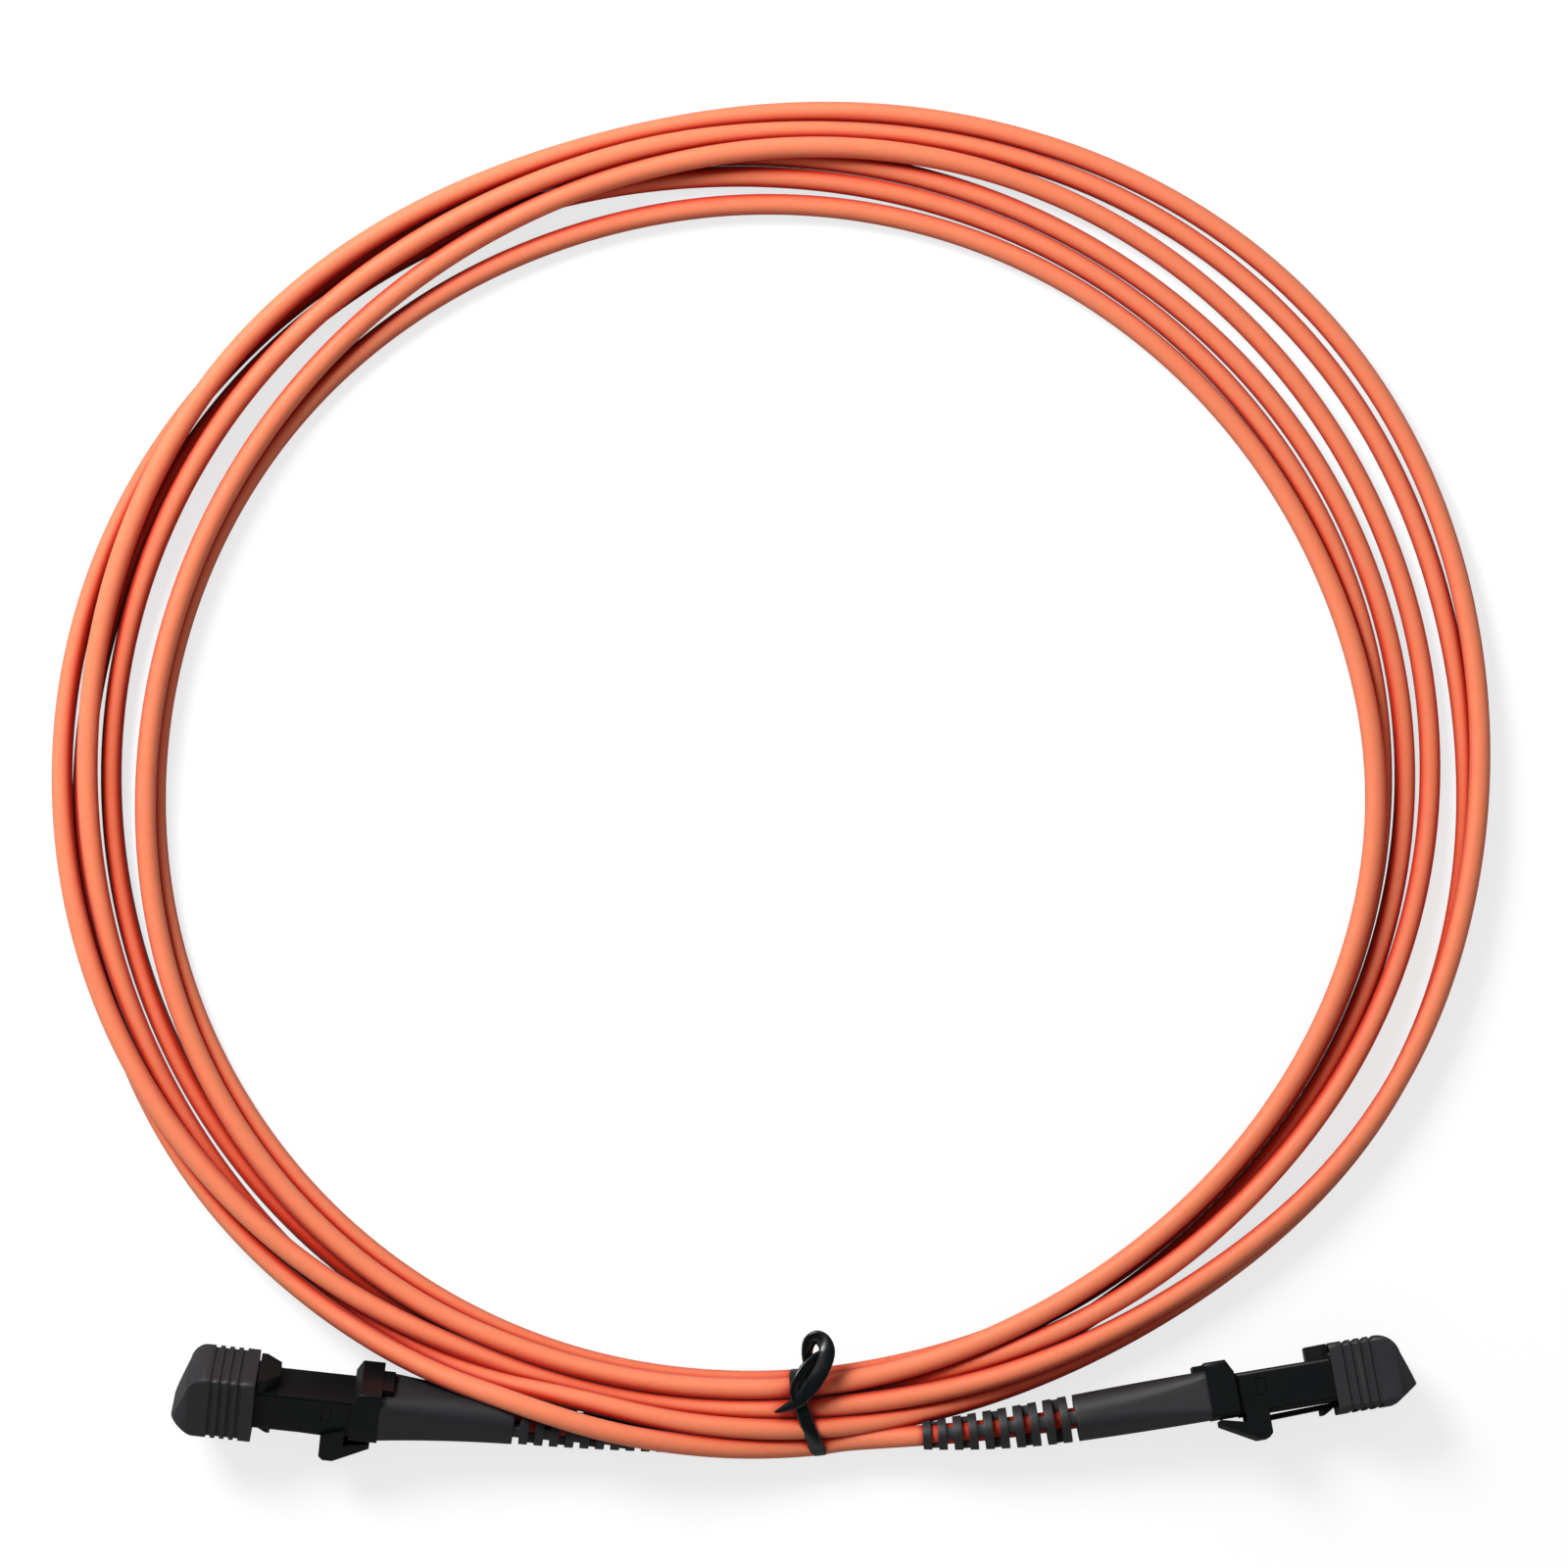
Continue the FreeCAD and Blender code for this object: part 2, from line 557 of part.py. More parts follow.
def make_crimp_ring():
    """The metal ring that clamps the yarn on the neck and the jacket behind it."""
    start = COLLAR_END + CRIMP_FRONT_GAP
    small_r = CABLE_D/2 + CRIMP_GAP
    big = rod(start, NECK_END + CRIMP_WALL, CRIMP_R)
    small = rod(NECK_END, CRIMP_END, small_r + CRIMP_WALL)
    ring = big.cut(rod(start - PAST, NECK_END, NECK_D/2 + CRIMP_GAP)).fuse(small)
    return ring.cut(rod(NECK_END, CRIMP_END + PAST, small_r)).removeSplitter()


# bend boot
def bend_place(x, bend):
    """Where a slice of the boot's tail stands: its axis curves evenly by bend degrees."""
    past = max(0.0, x - RIB_START)
    if past == 0.0 or abs(bend) < 1e-9:
        return FreeCAD.Placement(Vector(x, 0, 0), FreeCAD.Rotation())
    turn = math.radians(bend)*past/BOOT_RIB_LENGTH
    radius = BOOT_RIB_LENGTH/math.radians(bend)
    place = Vector(RIB_START + radius*math.sin(turn), 0, radius*(1 - math.cos(turn)))
    return FreeCAD.Placement(place, FreeCAD.Rotation(Vector(0, 1, 0), -math.degrees(turn)))


def put(shape, place):
    """The shape in another place."""
    return shape.transformed(place.toMatrix(), copy=True)


def boot_radius(x):
    """The ribbed tail's outer radius."""
    share = (x - RIB_START)/BOOT_RIB_LENGTH
    return BOOT_RIB_R - (BOOT_RIB_R - BOOT_TIP_R)*max(0.0, share)**1.5


def make_boot(bend):
    """The soft boot: a smooth grip, then ribs joined by two webs each."""
    grip = Part.makeLoft([
        rounded_wire(BOOT_START, BOOT_WIDTH, BOOT_HEIGHT, BOOT_CORNER),
        rounded_wire(
            RIB_START - BOOT_TAPER_LENGTH, BOOT_MID_WIDTH, BOOT_MID_HEIGHT, BOOT_MID_CORNER,
        ),
        rounded_wire(RIB_START, 2*BOOT_RIB_R, 2*BOOT_RIB_R, BOOT_RIB_R - BOOT_FLAT),
    ], True, False)
    socket_end = CRIMP_END + BOOT_CRIMP_GAP
    grip = grip.cut([
        rod(BOOT_START - PAST, socket_end, CRIMP_R + BOOT_CRIMP_GAP),
        rod(socket_end - PAST, RIB_START + PAST, BORE_R),
        block(
            BOOT_START - PAST, BOOT_START + BOOT_STEP_LENGTH + BOOT_CRIMP_GAP,
            BOOT_STEP_WIDTH + 2*BOOT_CRIMP_GAP,
            BOOT_HEIGHT/2 - BOOT_STEP_SUNK - BOOT_CRIMP_GAP, BOOT_HEIGHT,
        ),
    ])
    pitch = BOOT_RIB_LENGTH/BOOT_RIBS
    hole = rod(-PAST, pitch + PAST, BORE_R)
    web_hole = rod(-PAST, pitch + PAST, BORE_R + BOOT_WEB_LIFT)
    pieces = []
    for i in range(BOOT_RIBS):
        slot = RIB_START + i*pitch
        rib = slot + (1 - BOOT_RIB_SHARE)*pitch
        end = slot + pitch
        ring = Part.makeCone(
            boot_radius(rib), boot_radius(end), end - rib, Vector(0, 0, 0), Vector(1, 0, 0),
        )
        pieces.append(put(ring.cut(hole), bend_place(rib, bend)))
        web = rod(-BOOT_WEB_REACH, rib - slot + BOOT_WEB_REACH, boot_radius(end) - BOOT_WEB_INSET)
        strip = block(-PAST, pitch, BOOT_WEB_WIDTH, -BOOT_RIB_R, BOOT_RIB_R)
        if i % 2 == 0:
            strip.rotate(Vector(0, 0, 0), Vector(1, 0, 0), 90)
        pieces.append(put(web.cut(web_hole).common(strip), bend_place(slot, bend)))
    return grip.fuse(pieces)


# cable and coil
def sweep(path, radius):
    """A tube along runs and arcs."""
    start = path.Edges[0]
    first = start.valueAt(start.FirstParameter)
    way = start.tangentAt(start.FirstParameter)
    circle = Part.Wire(Part.makeCircle(radius, first, way))
    return path.makePipeShell([circle], True, True)


def plug_placement(tip, heading, roll, pitch):
    """Turns a plug's own axes to where it lies on the floor."""
    a = math.radians(heading)
    p = math.radians(pitch)
    r = math.radians(roll)
    along = Vector(math.cos(a)*math.cos(p), math.sin(a)*math.cos(p), -math.sin(p))
    level = Vector(0, 0, 1).cross(along).normalize()
    up = along.cross(level)
    if level.y < 0:
        level = level.negative()
    back = level*math.cos(r) + up*math.sin(r)
    side = back.cross(along)
    turn = FreeCAD.Rotation(along, side, back, "XZY")
    return FreeCAD.Placement(tip, turn)


LEFT_PLACE = plug_placement(LEFT_TIP, LEFT_HEADING, LEFT_ROLL, LEFT_PITCH)
RIGHT_PLACE = plug_placement(RIGHT_TIP, RIGHT_HEADING, RIGHT_ROLL, RIGHT_PITCH)


def on_plug(place, bend, x):
    """A point on a plug's bent axis, with the axis's heading there."""
    local = bend_place(x, bend)
    whole = place.multiply(local)
    return whole.Base, whole.Rotation.multVec(Vector(1, 0, 0))


def boot_path(place, bend):
    """The cable's way inside the boot: straight, then the tail's even curve."""
    start, _ = on_plug(place, bend, NECK_END)
    knee, _ = on_plug(place, bend, RIB_START)
    middle, _ = on_plug(place, bend, RIB_START + BOOT_RIB_LENGTH/2)
    end, _ = on_plug(place, bend, BOOT_END)
    return [Part.LineSegment(start, knee).toShape(), Part.Arc(knee, middle, end).toShape()]


def make_tail_left():
    """The cable inside the left boot, as far as the coil that lies on it."""
    tip, way = on_plug(LEFT_PLACE, LEFT_BEND, BOOT_END)
    edges = boot_path(LEFT_PLACE, LEFT_BEND)
    edges.append(Part.LineSegment(tip, tip + way*TAIL_STUB).toShape())
    return sweep(Part.Wire(edges), CABLE_D/2)


def make_tail_right():
    """The cable inside the right boot, and its run along the coil's outside."""
    tip, way = on_plug(RIGHT_PLACE, RIGHT_BEND, BOOT_END)
    corner = tip + way*((tip.x - TAIL_JOIN_X)/2/abs(way.x))
    run = min((corner - tip).Length, (TAIL_JOIN - corner).Length)
    out = (TAIL_JOIN - corner).normalize()
    cut = ARC_SHARE*run
    arc_start = corner - way*cut
    arc_end = corner + out*cut
    turn = way.getAngle(out)
    radius = cut/math.tan(turn/2)
    print("right tail: turn", round(math.degrees(turn), 2), "radius", round(radius, 1))
    inward = (out - way).normalize()
    middle = corner + inward*(radius/math.cos(turn/2) - radius)
    edges = boot_path(RIGHT_PLACE, RIGHT_BEND)
    edges.append(Part.LineSegment(tip, arc_start).toShape())
    edges.append(Part.Arc(arc_start, middle, arc_end).toShape())
    edges.append(Part.LineSegment(arc_end, TAIL_JOIN + out*TAIL_STUB).toShape())
    tube = sweep(Part.Wire(edges), CABLE_D/2)
    return tube.cut(box(
        TAIL_JOIN_X - 2*CABLE_D, TAIL_JOIN_X, TAIL_JOIN.y - CABLE_D, TAIL_JOIN.y + CABLE_D,
        TAIL_JOIN.z - CABLE_D, TAIL_JOIN.z + CABLE_D,
    ))


def polar(angle, radius):
    """A point of the coil's plan."""
    a = math.radians(angle)
    return Vector(radius*math.cos(a), radius*math.sin(a), 0)


def smooth_edge(points, periodic):
    """A smooth curve through the points."""
    curve = Part.BSplineCurve()
    curve.interpolate(Points=points, PeriodicFlag=periodic)
    return curve.toShape()


def make_coil():
    """The outer shape of the coiled cable: a flat ring with a rise over the left boot."""
    half = CABLE_D/2 + TAIL_ROOM
    join_out = Vector(TAIL_JOIN_X, TAIL_JOIN.y - half, 0)
    join_in = Vector(TAIL_JOIN_X, TAIL_JOIN.y + half, 0)
    outer_points = [join_in] + [polar(a, r) for a, r in COIL_OUTER_RIGHT]
    outer_points += [polar(a, r) for a, r in COIL_OUTER] + [join_out]
    outer = Part.Wire([
        smooth_edge(outer_points, False), Part.LineSegment(join_out, join_in).toShape(),
    ])
    inner = Part.Wire(smooth_edge([polar(a, r) for a, r in COIL_INNER], True))
    plan = Part.Face(outer).cut(Part.Face(inner))
    ring = plan.extrude(Vector(0, 0, COIL_HEIGHT))
    rise_points = [Vector(x, HUMP_INNER_Y, COIL_HEIGHT + share*(HUMP_TOP - COIL_HEIGHT))
                   for x, share in HUMP_PROFILE]
    rise_points[0].z = rise_points[-1].z = COIL_HEIGHT - HUMP_SUNK
    top = smooth_edge(rise_points, False)
    base = Part.LineSegment(rise_points[-1], rise_points[0]).toShape()
    rise = Part.Face(Part.Wire([top, base])).extrude(Vector(0, -HUMP_WIDTH, 0))
    rise = rise.common(plan.extrude(Vector(0, 0, 2*HUMP_TOP)))
    return ring.fuse(rise).removeSplitter()


def boot_room(place, bend, gap):
    """The room that the left boot takes under the coil, with a gap all round."""
    pieces = [rod(BOOT_START, RIB_START, BOOT_WIDTH/2 + gap)]
    step = BOOT_RIB_LENGTH/BOOT_RIBS
    for i in range(BOOT_RIBS):
        x = RIB_START + i*step
        piece = rod(-BOOT_WEB_REACH, step + BOOT_WEB_REACH, boot_radius(x) + gap)
        pieces.append(put(piece, bend_place(x, bend)))
    stub = rod(0, TAIL_STUB, CABLE_D/2 + gap)
    pieces.append(put(stub, bend_place(BOOT_END, bend)))
    return put(pieces[0].fuse(pieces[1:]), place)


# twist tie
def tie_band(grow):
    """The flat band round the coil, its faces moved out by grow."""
    y0 = TIE_OUTER_Y - TIE_THICKNESS
    y1 = TIE_INNER_Y + TIE_THICKNESS
    half = TIE_WIDTH/2 + grow
    band = box(-half, half, y0 - grow, y1 + grow, -grow, TIE_TOP + grow)
    band = band.makeFillet(TIE_ROUND, edges_along(band, Vector(1, 0, 0)))
    band = band.cut(box(
        -half - PAST, half + PAST, TIE_OUTER_Y + grow, TIE_INNER_Y - grow,
        TIE_THICKNESS + grow, TIE_TOP - TIE_THICKNESS - grow,
    ))
    middle = Vector(0, (y0 + y1)/2, 0)
    band.rotate(middle, Vector(0, 0, 1), TIE_TURN)
    band.translate(Vector(TIE_X, 0, 0))
    return band


def make_tie():
    """The band with its twisted stem and one loose end."""
    way = TIE_STEM_HEAD - TIE_STEM_FOOT
    stem = Part.makeCone(TIE_STEM_TIP_R, TIE_STEM_R, way.Length, TIE_STEM_FOOT, way)
    head = Part.makeSphere(TIE_STEM_R, TIE_STEM_HEAD)
    foot = Part.makeSphere(TIE_STEM_TIP_R, TIE_STEM_FOOT)
    out = TIE_TAIL_END - TIE_STEM_FOOT
    tail = Part.makeCone(TIE_TAIL_R, TIE_TAIL_TIP_R, out.Length, TIE_STEM_FOOT, out)
    return tie_band(0.0).fuse([stem, head, foot, tail])


def plug_pieces(bend):
    """Every piece of one plug, in the plug's own axes."""
    return {
        "dust_cap": make_dust_cap(),
        "plug_housing": make_housing(),
        "latch_arm": make_latch_arm(),
        "latch_trigger": make_trigger(),
        "ferrule": make_ferrule(),
        "ferrule_sleeve": make_ferrule_sleeve(),
        "pin_keeper": make_pin_keeper(),
        "fibre_pair": make_fibres(),
        "ferrule_spring": make_spring(),
        "rear_body": make_rear_body(),
        "crimp_ring": make_crimp_ring(),
        "bend_boot": make_boot(bend),
    }


def build():
    """All nodes by name, with the coil's middle at x = y = 0."""
    nodes = {}
    for side, place, bend in (
        ("left", LEFT_PLACE, LEFT_BEND), ("right", RIGHT_PLACE, RIGHT_BEND),
    ):
        for name, shape in plug_pieces(bend).items():
            nodes[name + "_" + side] = put(shape, place)
    nodes["cord_tail_left"] = make_tail_left()
    nodes["cord_tail_right"] = make_tail_right()
    coil = make_coil()
    coil = coil.cut([boot_room(LEFT_PLACE, LEFT_BEND, COIL_GAP), tie_band(TIE_ROOM)])
    nodes["cord_coil"] = coil
    nodes["twist_tie"] = make_tie()
    return nodes


def centred(nodes):
    """The same nodes, moved so that the whole stands over the origin."""
    boxes = [shape.optimalBoundingBox(False, False) for shape in nodes.values()]
    middle_x = (min(b.XMin for b in boxes) + max(b.XMax for b in boxes))/2
    middle_y = (min(b.YMin for b in boxes) + max(b.YMax for b in boxes))/2
    shift = Vector(-middle_x, -middle_y, -min(b.ZMin for b in boxes))
    print("shift", shift)
    moved = {}
    for name, shape in nodes.items():
        moved[name] = shape.translated(shift)
    return moved


os.makedirs("parts", exist_ok=True)
for name, shape in centred(build()).items():
    print(name, shape.ShapeType, len(shape.Solids), round(shape.Volume, 2), shape.isValid())
    shape.exportStep("parts/" + name + ".step")
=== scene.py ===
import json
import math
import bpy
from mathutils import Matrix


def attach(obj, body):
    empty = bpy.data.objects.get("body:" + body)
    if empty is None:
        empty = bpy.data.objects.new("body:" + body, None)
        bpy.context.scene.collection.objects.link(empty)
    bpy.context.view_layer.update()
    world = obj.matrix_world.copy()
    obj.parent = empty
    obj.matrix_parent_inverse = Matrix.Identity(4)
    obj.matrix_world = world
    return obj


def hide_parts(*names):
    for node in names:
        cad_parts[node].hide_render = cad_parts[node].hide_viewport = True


bl_info = {
    "name": "Fiber optic patch cord",
    "version": (1, 0, 0),
    "blender": (4, 5, 0),
    "location": "View3D > Sidebar > Patch Cord",
    "description": "Dresses a coiled two-fibre patch cord: cable, plugs, boots, dust caps and twist tie",
    "category": "Object",
}

import bmesh
import bpy
import numpy as np
from bpy.props import FloatProperty, IntProperty, PointerProperty, StringProperty
from mathutils import Matrix, Vector

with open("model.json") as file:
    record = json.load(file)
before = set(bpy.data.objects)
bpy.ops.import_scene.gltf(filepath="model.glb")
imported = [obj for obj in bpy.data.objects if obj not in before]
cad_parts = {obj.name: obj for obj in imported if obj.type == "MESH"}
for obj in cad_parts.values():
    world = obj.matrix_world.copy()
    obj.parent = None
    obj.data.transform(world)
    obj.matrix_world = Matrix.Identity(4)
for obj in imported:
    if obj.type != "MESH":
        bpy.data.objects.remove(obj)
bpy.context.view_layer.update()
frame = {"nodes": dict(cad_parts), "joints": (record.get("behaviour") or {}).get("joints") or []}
NODES = frame["nodes"]
JOINTS = {joint["name"]: joint for joint in frame["joints"]}
SIDES = ("left", "right")
MM = 0.001

# the moulded pieces of a plug that show
OUTSIDE = (
    "dust_cap", "plug_housing", "latch_arm", "latch_trigger", "rear_body", "bend_boot",
)

# a plug in millimetres along its own axes, u from the cap's tip, s across and b to the back:
# the trigger's hinge, the end of the crimp neck, and the boot's ribbed tail
HINGE_U = 28.3
HINGE_B = -4.15
NECK_END = 33.9
RIB_START = 48.3
BOOT_END = 70.2
BOOT_RIB_R = 3.3
BOOT_TIP_R = 2.0
BOOT_NARROWING = 1.5

# how far each boot's ribbed tail bends, in degrees, and the cable's points inside a boot along u
BOOT_BEND = {"left": -1.5, "right": 6.0}
CABLE_IN_BOOT = (NECK_END, 42.0, RIB_START, 57.0, 64.0, BOOT_END)

# the coil's middle, and from there the point where the last turn meets the right boot's cable,
# in millimetres
COIL_CENTRE = Vector((0.08, 0.14, 0.0))
TAIL_JOIN = Vector((10.0, -94.35, 4.05))

# the tie's place round the coil in degrees, how far it lifts the turns off the floor in
# millimetres, and the angles from it up to which it lifts them fully and past which not at all
TIE_ANGLE = -86.4
TIE_FLOOR = 0.7
TIE_LIFT_ENDS = (3.2, 11.2)

# how the turns settle: degrees from point to point, rounds, the share of the way back to the
# radius and height in LAPS that a round takes, the smoothing along the cable, the room from
# turn to turn in thicknesses, the share of a push that goes sideways, and the least distance
# that is divided by
LAP_STEP = 4
SETTLE_ROUNDS = 400
PULL_RADIUS = 0.04
PULL_HEIGHT = 0.02
SMOOTHING = 0.2
TURN_ROOM = 1.01
SIDEWAYS = 0.6
NEAREST = 1e-6

# the part of the left boot that turns may lie against: millimetres before its ribs, how many
# places of it are looked at, and the room kept from it in millimetres
BOOT_LEAD = 10
BOOT_PLACES = 24
BOOT_ROOM = 0.1

# each turn of the cable: angle in degrees, radius in millimetres, height of its middle in
# cable thicknesses
LAPS = (
    (
        (-98, 95.1, 1.07), (-90, 93.5, 0.64), (-80, 91.3, 0.5), (-70, 89.9, 0.5), (-60, 88.8, 0.5),
        (-50, 88.2, 0.5), (-35, 89.0, 0.5), (-20, 90.3, 0.5), (0, 90.9, 0.5), (30, 90.2, 0.5),
        (60, 88.6, 0.5), (90, 88.5, 0.5), (100, 89.3, 0.5), (110, 91.3, 0.5), (120, 93.3, 0.5),
        (135, 96.3, 0.5), (150, 99.4, 0.5), (162, 101.2, 0.5), (172, 101.9, 0.54), (190, 101.1, 1.14),
        (202, 100.4, 1.46), (215, 98.4, 1.5), (230, 95.2, 1.5), (243, 92.4, 1.5), (256, 90.7, 1.46),
    ),
    (
        (-90, 89.7, 1.43), (-80, 89.6, 1.43), (-70, 90.4, 1.43), (-60, 91.8, 1.43), (-45, 94.5, 1.43),
        (-35, 98.3, 1.46), (-25, 99.9, 1.46), (-10, 100.4, 1.46), (0, 100.7, 1.36), (12, 102.0, 0.86),
        (20, 102.9, 0.54), (32, 103.6, 0.5), (45, 102.8, 0.5), (60, 100.2, 0.5), (75, 96.8, 0.5),
        (90, 94.1, 0.71), (102, 92.9, 1.0), (112, 93.4, 1.36), (125, 95.7, 1.46), (140, 98.1, 1.5),
        (150, 98.4, 1.5), (180, 97.5, 1.46), (195, 97.4, 1.21), (208, 96.9, 0.57), (230, 96.6, 0.57),
        (240, 95.3, 0.93), (248, 94.1, 1.71), (255, 93.2, 2.43), (262, 92.5, 1.93),
    ),
    (
        (-90, 92.0, 1.43), (-80, 92.1, 1.39), (-70, 92.7, 0.86), (-60, 93.4, 0.5), (-50, 94.7, 0.5),
        (-40, 97.4, 0.5), (-30, 99.9, 0.5), (-20, 100.6, 0.5), (-5, 100.0, 0.5), (10, 99.0, 0.5),
        (35, 99.7, 0.5), (50, 98.5, 0.5), (70, 95.5, 0.5), (90, 92.3, 0.57), (100, 91.4, 1.07),
        (112, 91.1, 1.5), (122, 91.4, 1.46), (135, 92.7, 1.46), (150, 93.9, 1.25), (165, 94.5, 0.71),
        (180, 94.6, 0.5), (210, 93.9, 0.5), (230, 92.8, 0.5), (245, 91.1, 0.5), (260, 89.5, 0.5),
    ),
    (
        (-90, 88.8, 0.5), (-75, 88.5, 0.57), (-66, 88.7, 1.21), (-58, 89.1, 1.46), (-50, 89.7, 1.39),
        (-40, 90.2, 1.21), (-25, 92.4, 1.07), (-10, 94.1, 0.61), (0, 94.5, 0.5), (40, 94.2, 0.5),
        (60, 93.5, 0.5), (70, 92.7, 0.64), (80, 91.3, 1.25), (90, 90.0, 1.39), (100, 89.2, 1.43),
        (112, 87.9, 1.39), (125, 87.5, 0.95), (140, 87.4, 1.3), (160, 87.9, 1.45), (180, 89.1, 1.45),
        (195, 90.3, 1.4), (210, 91.2, 1.2), (220, 91.3, 1.1), (235, 90.6, 1.14), (250, 88.6, 1.32),
        (260, 87.6, 1.39),
    ),
    (
        (-90, 87.1, 1.46), (-80, 86.4, 1.43), (-70, 85.5, 1.36), (-55, 84.9, 1.32), (-40, 85.4, 1.39),
        (-25, 86.1, 1.43), (-5, 86.9, 1.46), (5, 86.3, 1.36), (12, 85.3, 1.14), (22, 84.3, 0.71),
        (40, 83.2, 0.5), (60, 82.6, 0.5), (90, 82.2, 0.5), (110, 82.6, 0.5), (125, 83.9, 0.5),
        (140, 85.6, 0.5), (155, 86.7, 0.5), (170, 87.6, 0.5), (185, 88.5, 0.5), (200, 89.2, 0.5),
        (215, 89.2, 0.5), (235, 88.5, 0.5), (250, 87.6, 0.5), (260, 86.8, 0.5),
    ),
    (
        (-90, 86.2, 0.5), (-70, 86.0, 0.5), (-50, 86.5, 0.5), (-25, 87.4, 0.5), (0, 87.4, 0.5),
        (20, 87.2, 0.5), (45, 86.1, 0.5), (70, 85.7, 0.5), (90, 86.2, 0.5), (100, 87.1, 0.5),
        (110, 88.5, 0.5), (120, 90.3, 0.5), (130, 92.3, 0.5), (140, 94.1, 0.5), (150, 95.6, 0.5),
        (160, 96.9, 0.5), (170, 97.9, 0.5), (180, 98.6, 0.5), (190, 99.3, 0.5), (200, 100.2, 0.5),
        (210, 100.9, 0.5), (220, 100.5, 0.57), (230, 98.8, 1.0), (240, 97.7, 2.07), (249, 96.4, 3.0),
        (255, 95.6, 2.71), (262, 95.0, 2.21), (270, 94.6, 1.54),
    ),
)

# the tie's ribbons: sections from knot to knot, points of a section, how square the section is
# across and through, how much thickness a narrow part keeps, and the step that finds its way
RIBBON_STEPS = 6
RIBBON_SIDES = 16
RIBBON_ACROSS = 0.5
RIBBON_THROUGH = 0.8
RIBBON_KEEP = 0.3
RIBBON_PROBE = 0.02

# knots of the ribbons: place in millimetres, direction across, share of the whole width
TIE_RING = (
    ((7.0, -96.1, 3.2), (1, 0.1, 0), 1), ((6.7, -95.3, 5.6), (1, 0.1, 0.1), 1),
    ((5.8, -93.0, 6.9), (1, -0.4, 0.1), 0.95), ((4.8, -90.3, 7.3), (1, -0.5, 0.1), 0.9),
    ((4.0, -87.6, 7.2), (1, -0.3, 0.3), 0.9), ((3.7, -85.5, 6.3), (1, 0, 0.2), 0.9),
    ((3.8, -84.5, 4.0), (1, 0, 0), 1), ((4.0, -84.8, 1.4), (1, 0, 0), 1),
    ((4.5, -86.4, 0.4), (1, 0.3, 0), 1), ((5.6, -90.5, 0.4), (1, 0.3, 0), 1),
    ((6.6, -94.4, 0.4), (1, 0.2, 0), 1), ((6.95, -95.8, 1.2), (1, 0.1, 0), 1),
)
TIE_FRONT = (
    ((0.6, -89.75, 7.1), (0.4, -1, 0.3), 0.12), ((1.9, -89.2, 7.4), (0.45, -1, 0.3), 0.45),
    ((3.9, -88.0, 8.1), (0.6, -1, 0.3), 0.8), ((6.0, -85.6, 8.8), (1, -0.9, 0.3), 1),
    ((7.4, -83.2, 8.8), (1, -0.5, 0.3), 1), ((8.0, -81.1, 8.4), (1, -0.1, 0.1), 1),
    ((7.6, -79.7, 7.9), (1, 0.9, 0.1), 0.95), ((6.6, -79.15, 7.4), (0.1, 1, 0.3), 0.95),
    ((5.6, -79.7, 7.0), (-0.9, 0.7, 0.6), 0.9), ((5.2, -81.2, 6.8), (-0.8, 0, 0.8), 0.9),
    ((5.4, -83.0, 6.8), (-0.8, 0, 0.8), 0.9), ((5.4, -84.8, 7.4), (-0.9, 0.2, 0.5), 0.9),
    ((4.9, -86.6, 7.7), (-1, 0.4, 0.3), 0.8), ((4.6, -88.6, 7.5), (-1, 0.4, 0.2), 0.6),
)
TIE_BACK = (
    ((4.3, -88.9, 7.6), (-1, 0.2, 0.2), 0.7), ((3.5, -87.0, 7.9), (-1, 0.1, 0.6), 0.8),
    ((4.0, -85.2, 8.0), (-1, 0.4, 0.6), 0.9), ((5.3, -83.5, 7.6), (-1, 0.8, 0.4), 1),
    ((6.9, -82.2, 7.0), (-0.5, 1, 0.3), 1), ((8.4, -81.5, 6.6), (-0.3, 1, 0.2), 0.8),
)

# sockets of a Mix node that mixes colours, which share their names with other sockets
MIX_A = 6
MIX_B = 7
MIX_RESULT = 2

# how many grains wide a cloud of colour and gloss is, and how far roughness strays either way.
# real mould grain and drawing lines are some hundredths of a millimetre, too fine to show, so
# the materials draw them 0.1 to 0.4 mm wide
CLOUD_GRAINS = 12
MOULDED_GLOSS = (-0.05, 0.07)
DRAWN_GLOSS = (-0.08, 0.1)

# the jacket's painted shade: how far away in millimetres another turn still darkens its colour, and
# the share of the deep colour's light that is painted where nothing is open
PAINTED_SHADE_REACH = 12
DARKEST_PAINTED_SHADE = 0.4

# edges of the mouldings: doubles closer than this in millimetres are merged, and an edge is
# rounded where its faces turn by this many degrees
MERGE_REACH = 0.002
EDGE_ANGLE = 35

# the stage in metres: half the floor's side, its grey and its own white, the key light's side
# and place
FLOOR_HALF = 3.0
FLOOR_GREY = 0.32
FLOOR_WHITE = 0.74
KEY_SIZE = 0.3
KEY_PLACE = (-0.37, 0.43, 0.5)

# the camera in millimetres: its place over the floor, and the height at which it sees its width
CAMERA_X = 1.90
CAMERA_Y = -0.56
VIEW_HEIGHT = 2.8


def srgb(code):
    """A hex colour as linear red, green, blue and alpha."""
    channels = [int(code[i:i + 2], 16)/255 for i in (1, 3, 5)]
    return [c/12.92 if c <= 0.04045 else ((c + 0.055)/1.055)**2.4 for c in channels] + [1.0]


def darker(code, share):
    """A hex colour in linear values, at a share of its light."""
    red, green, blue, alpha = srgb(code)
    return [red*share, green*share, blue*share, alpha]


def add_node(tree, kind, settings=None, values=None, links=None):
    """One shader node with its settings, its socket values and what feeds its sockets."""
    item = tree.nodes.new(kind)
    for name, value in (settings or {}).items():
        setattr(item, name, value)
    for name, value in (values or {}).items():
        item.inputs[name].default_value = value
    for name, source in (links or {}).items():
        tree.links.new(source, item.inputs[name])
    return item


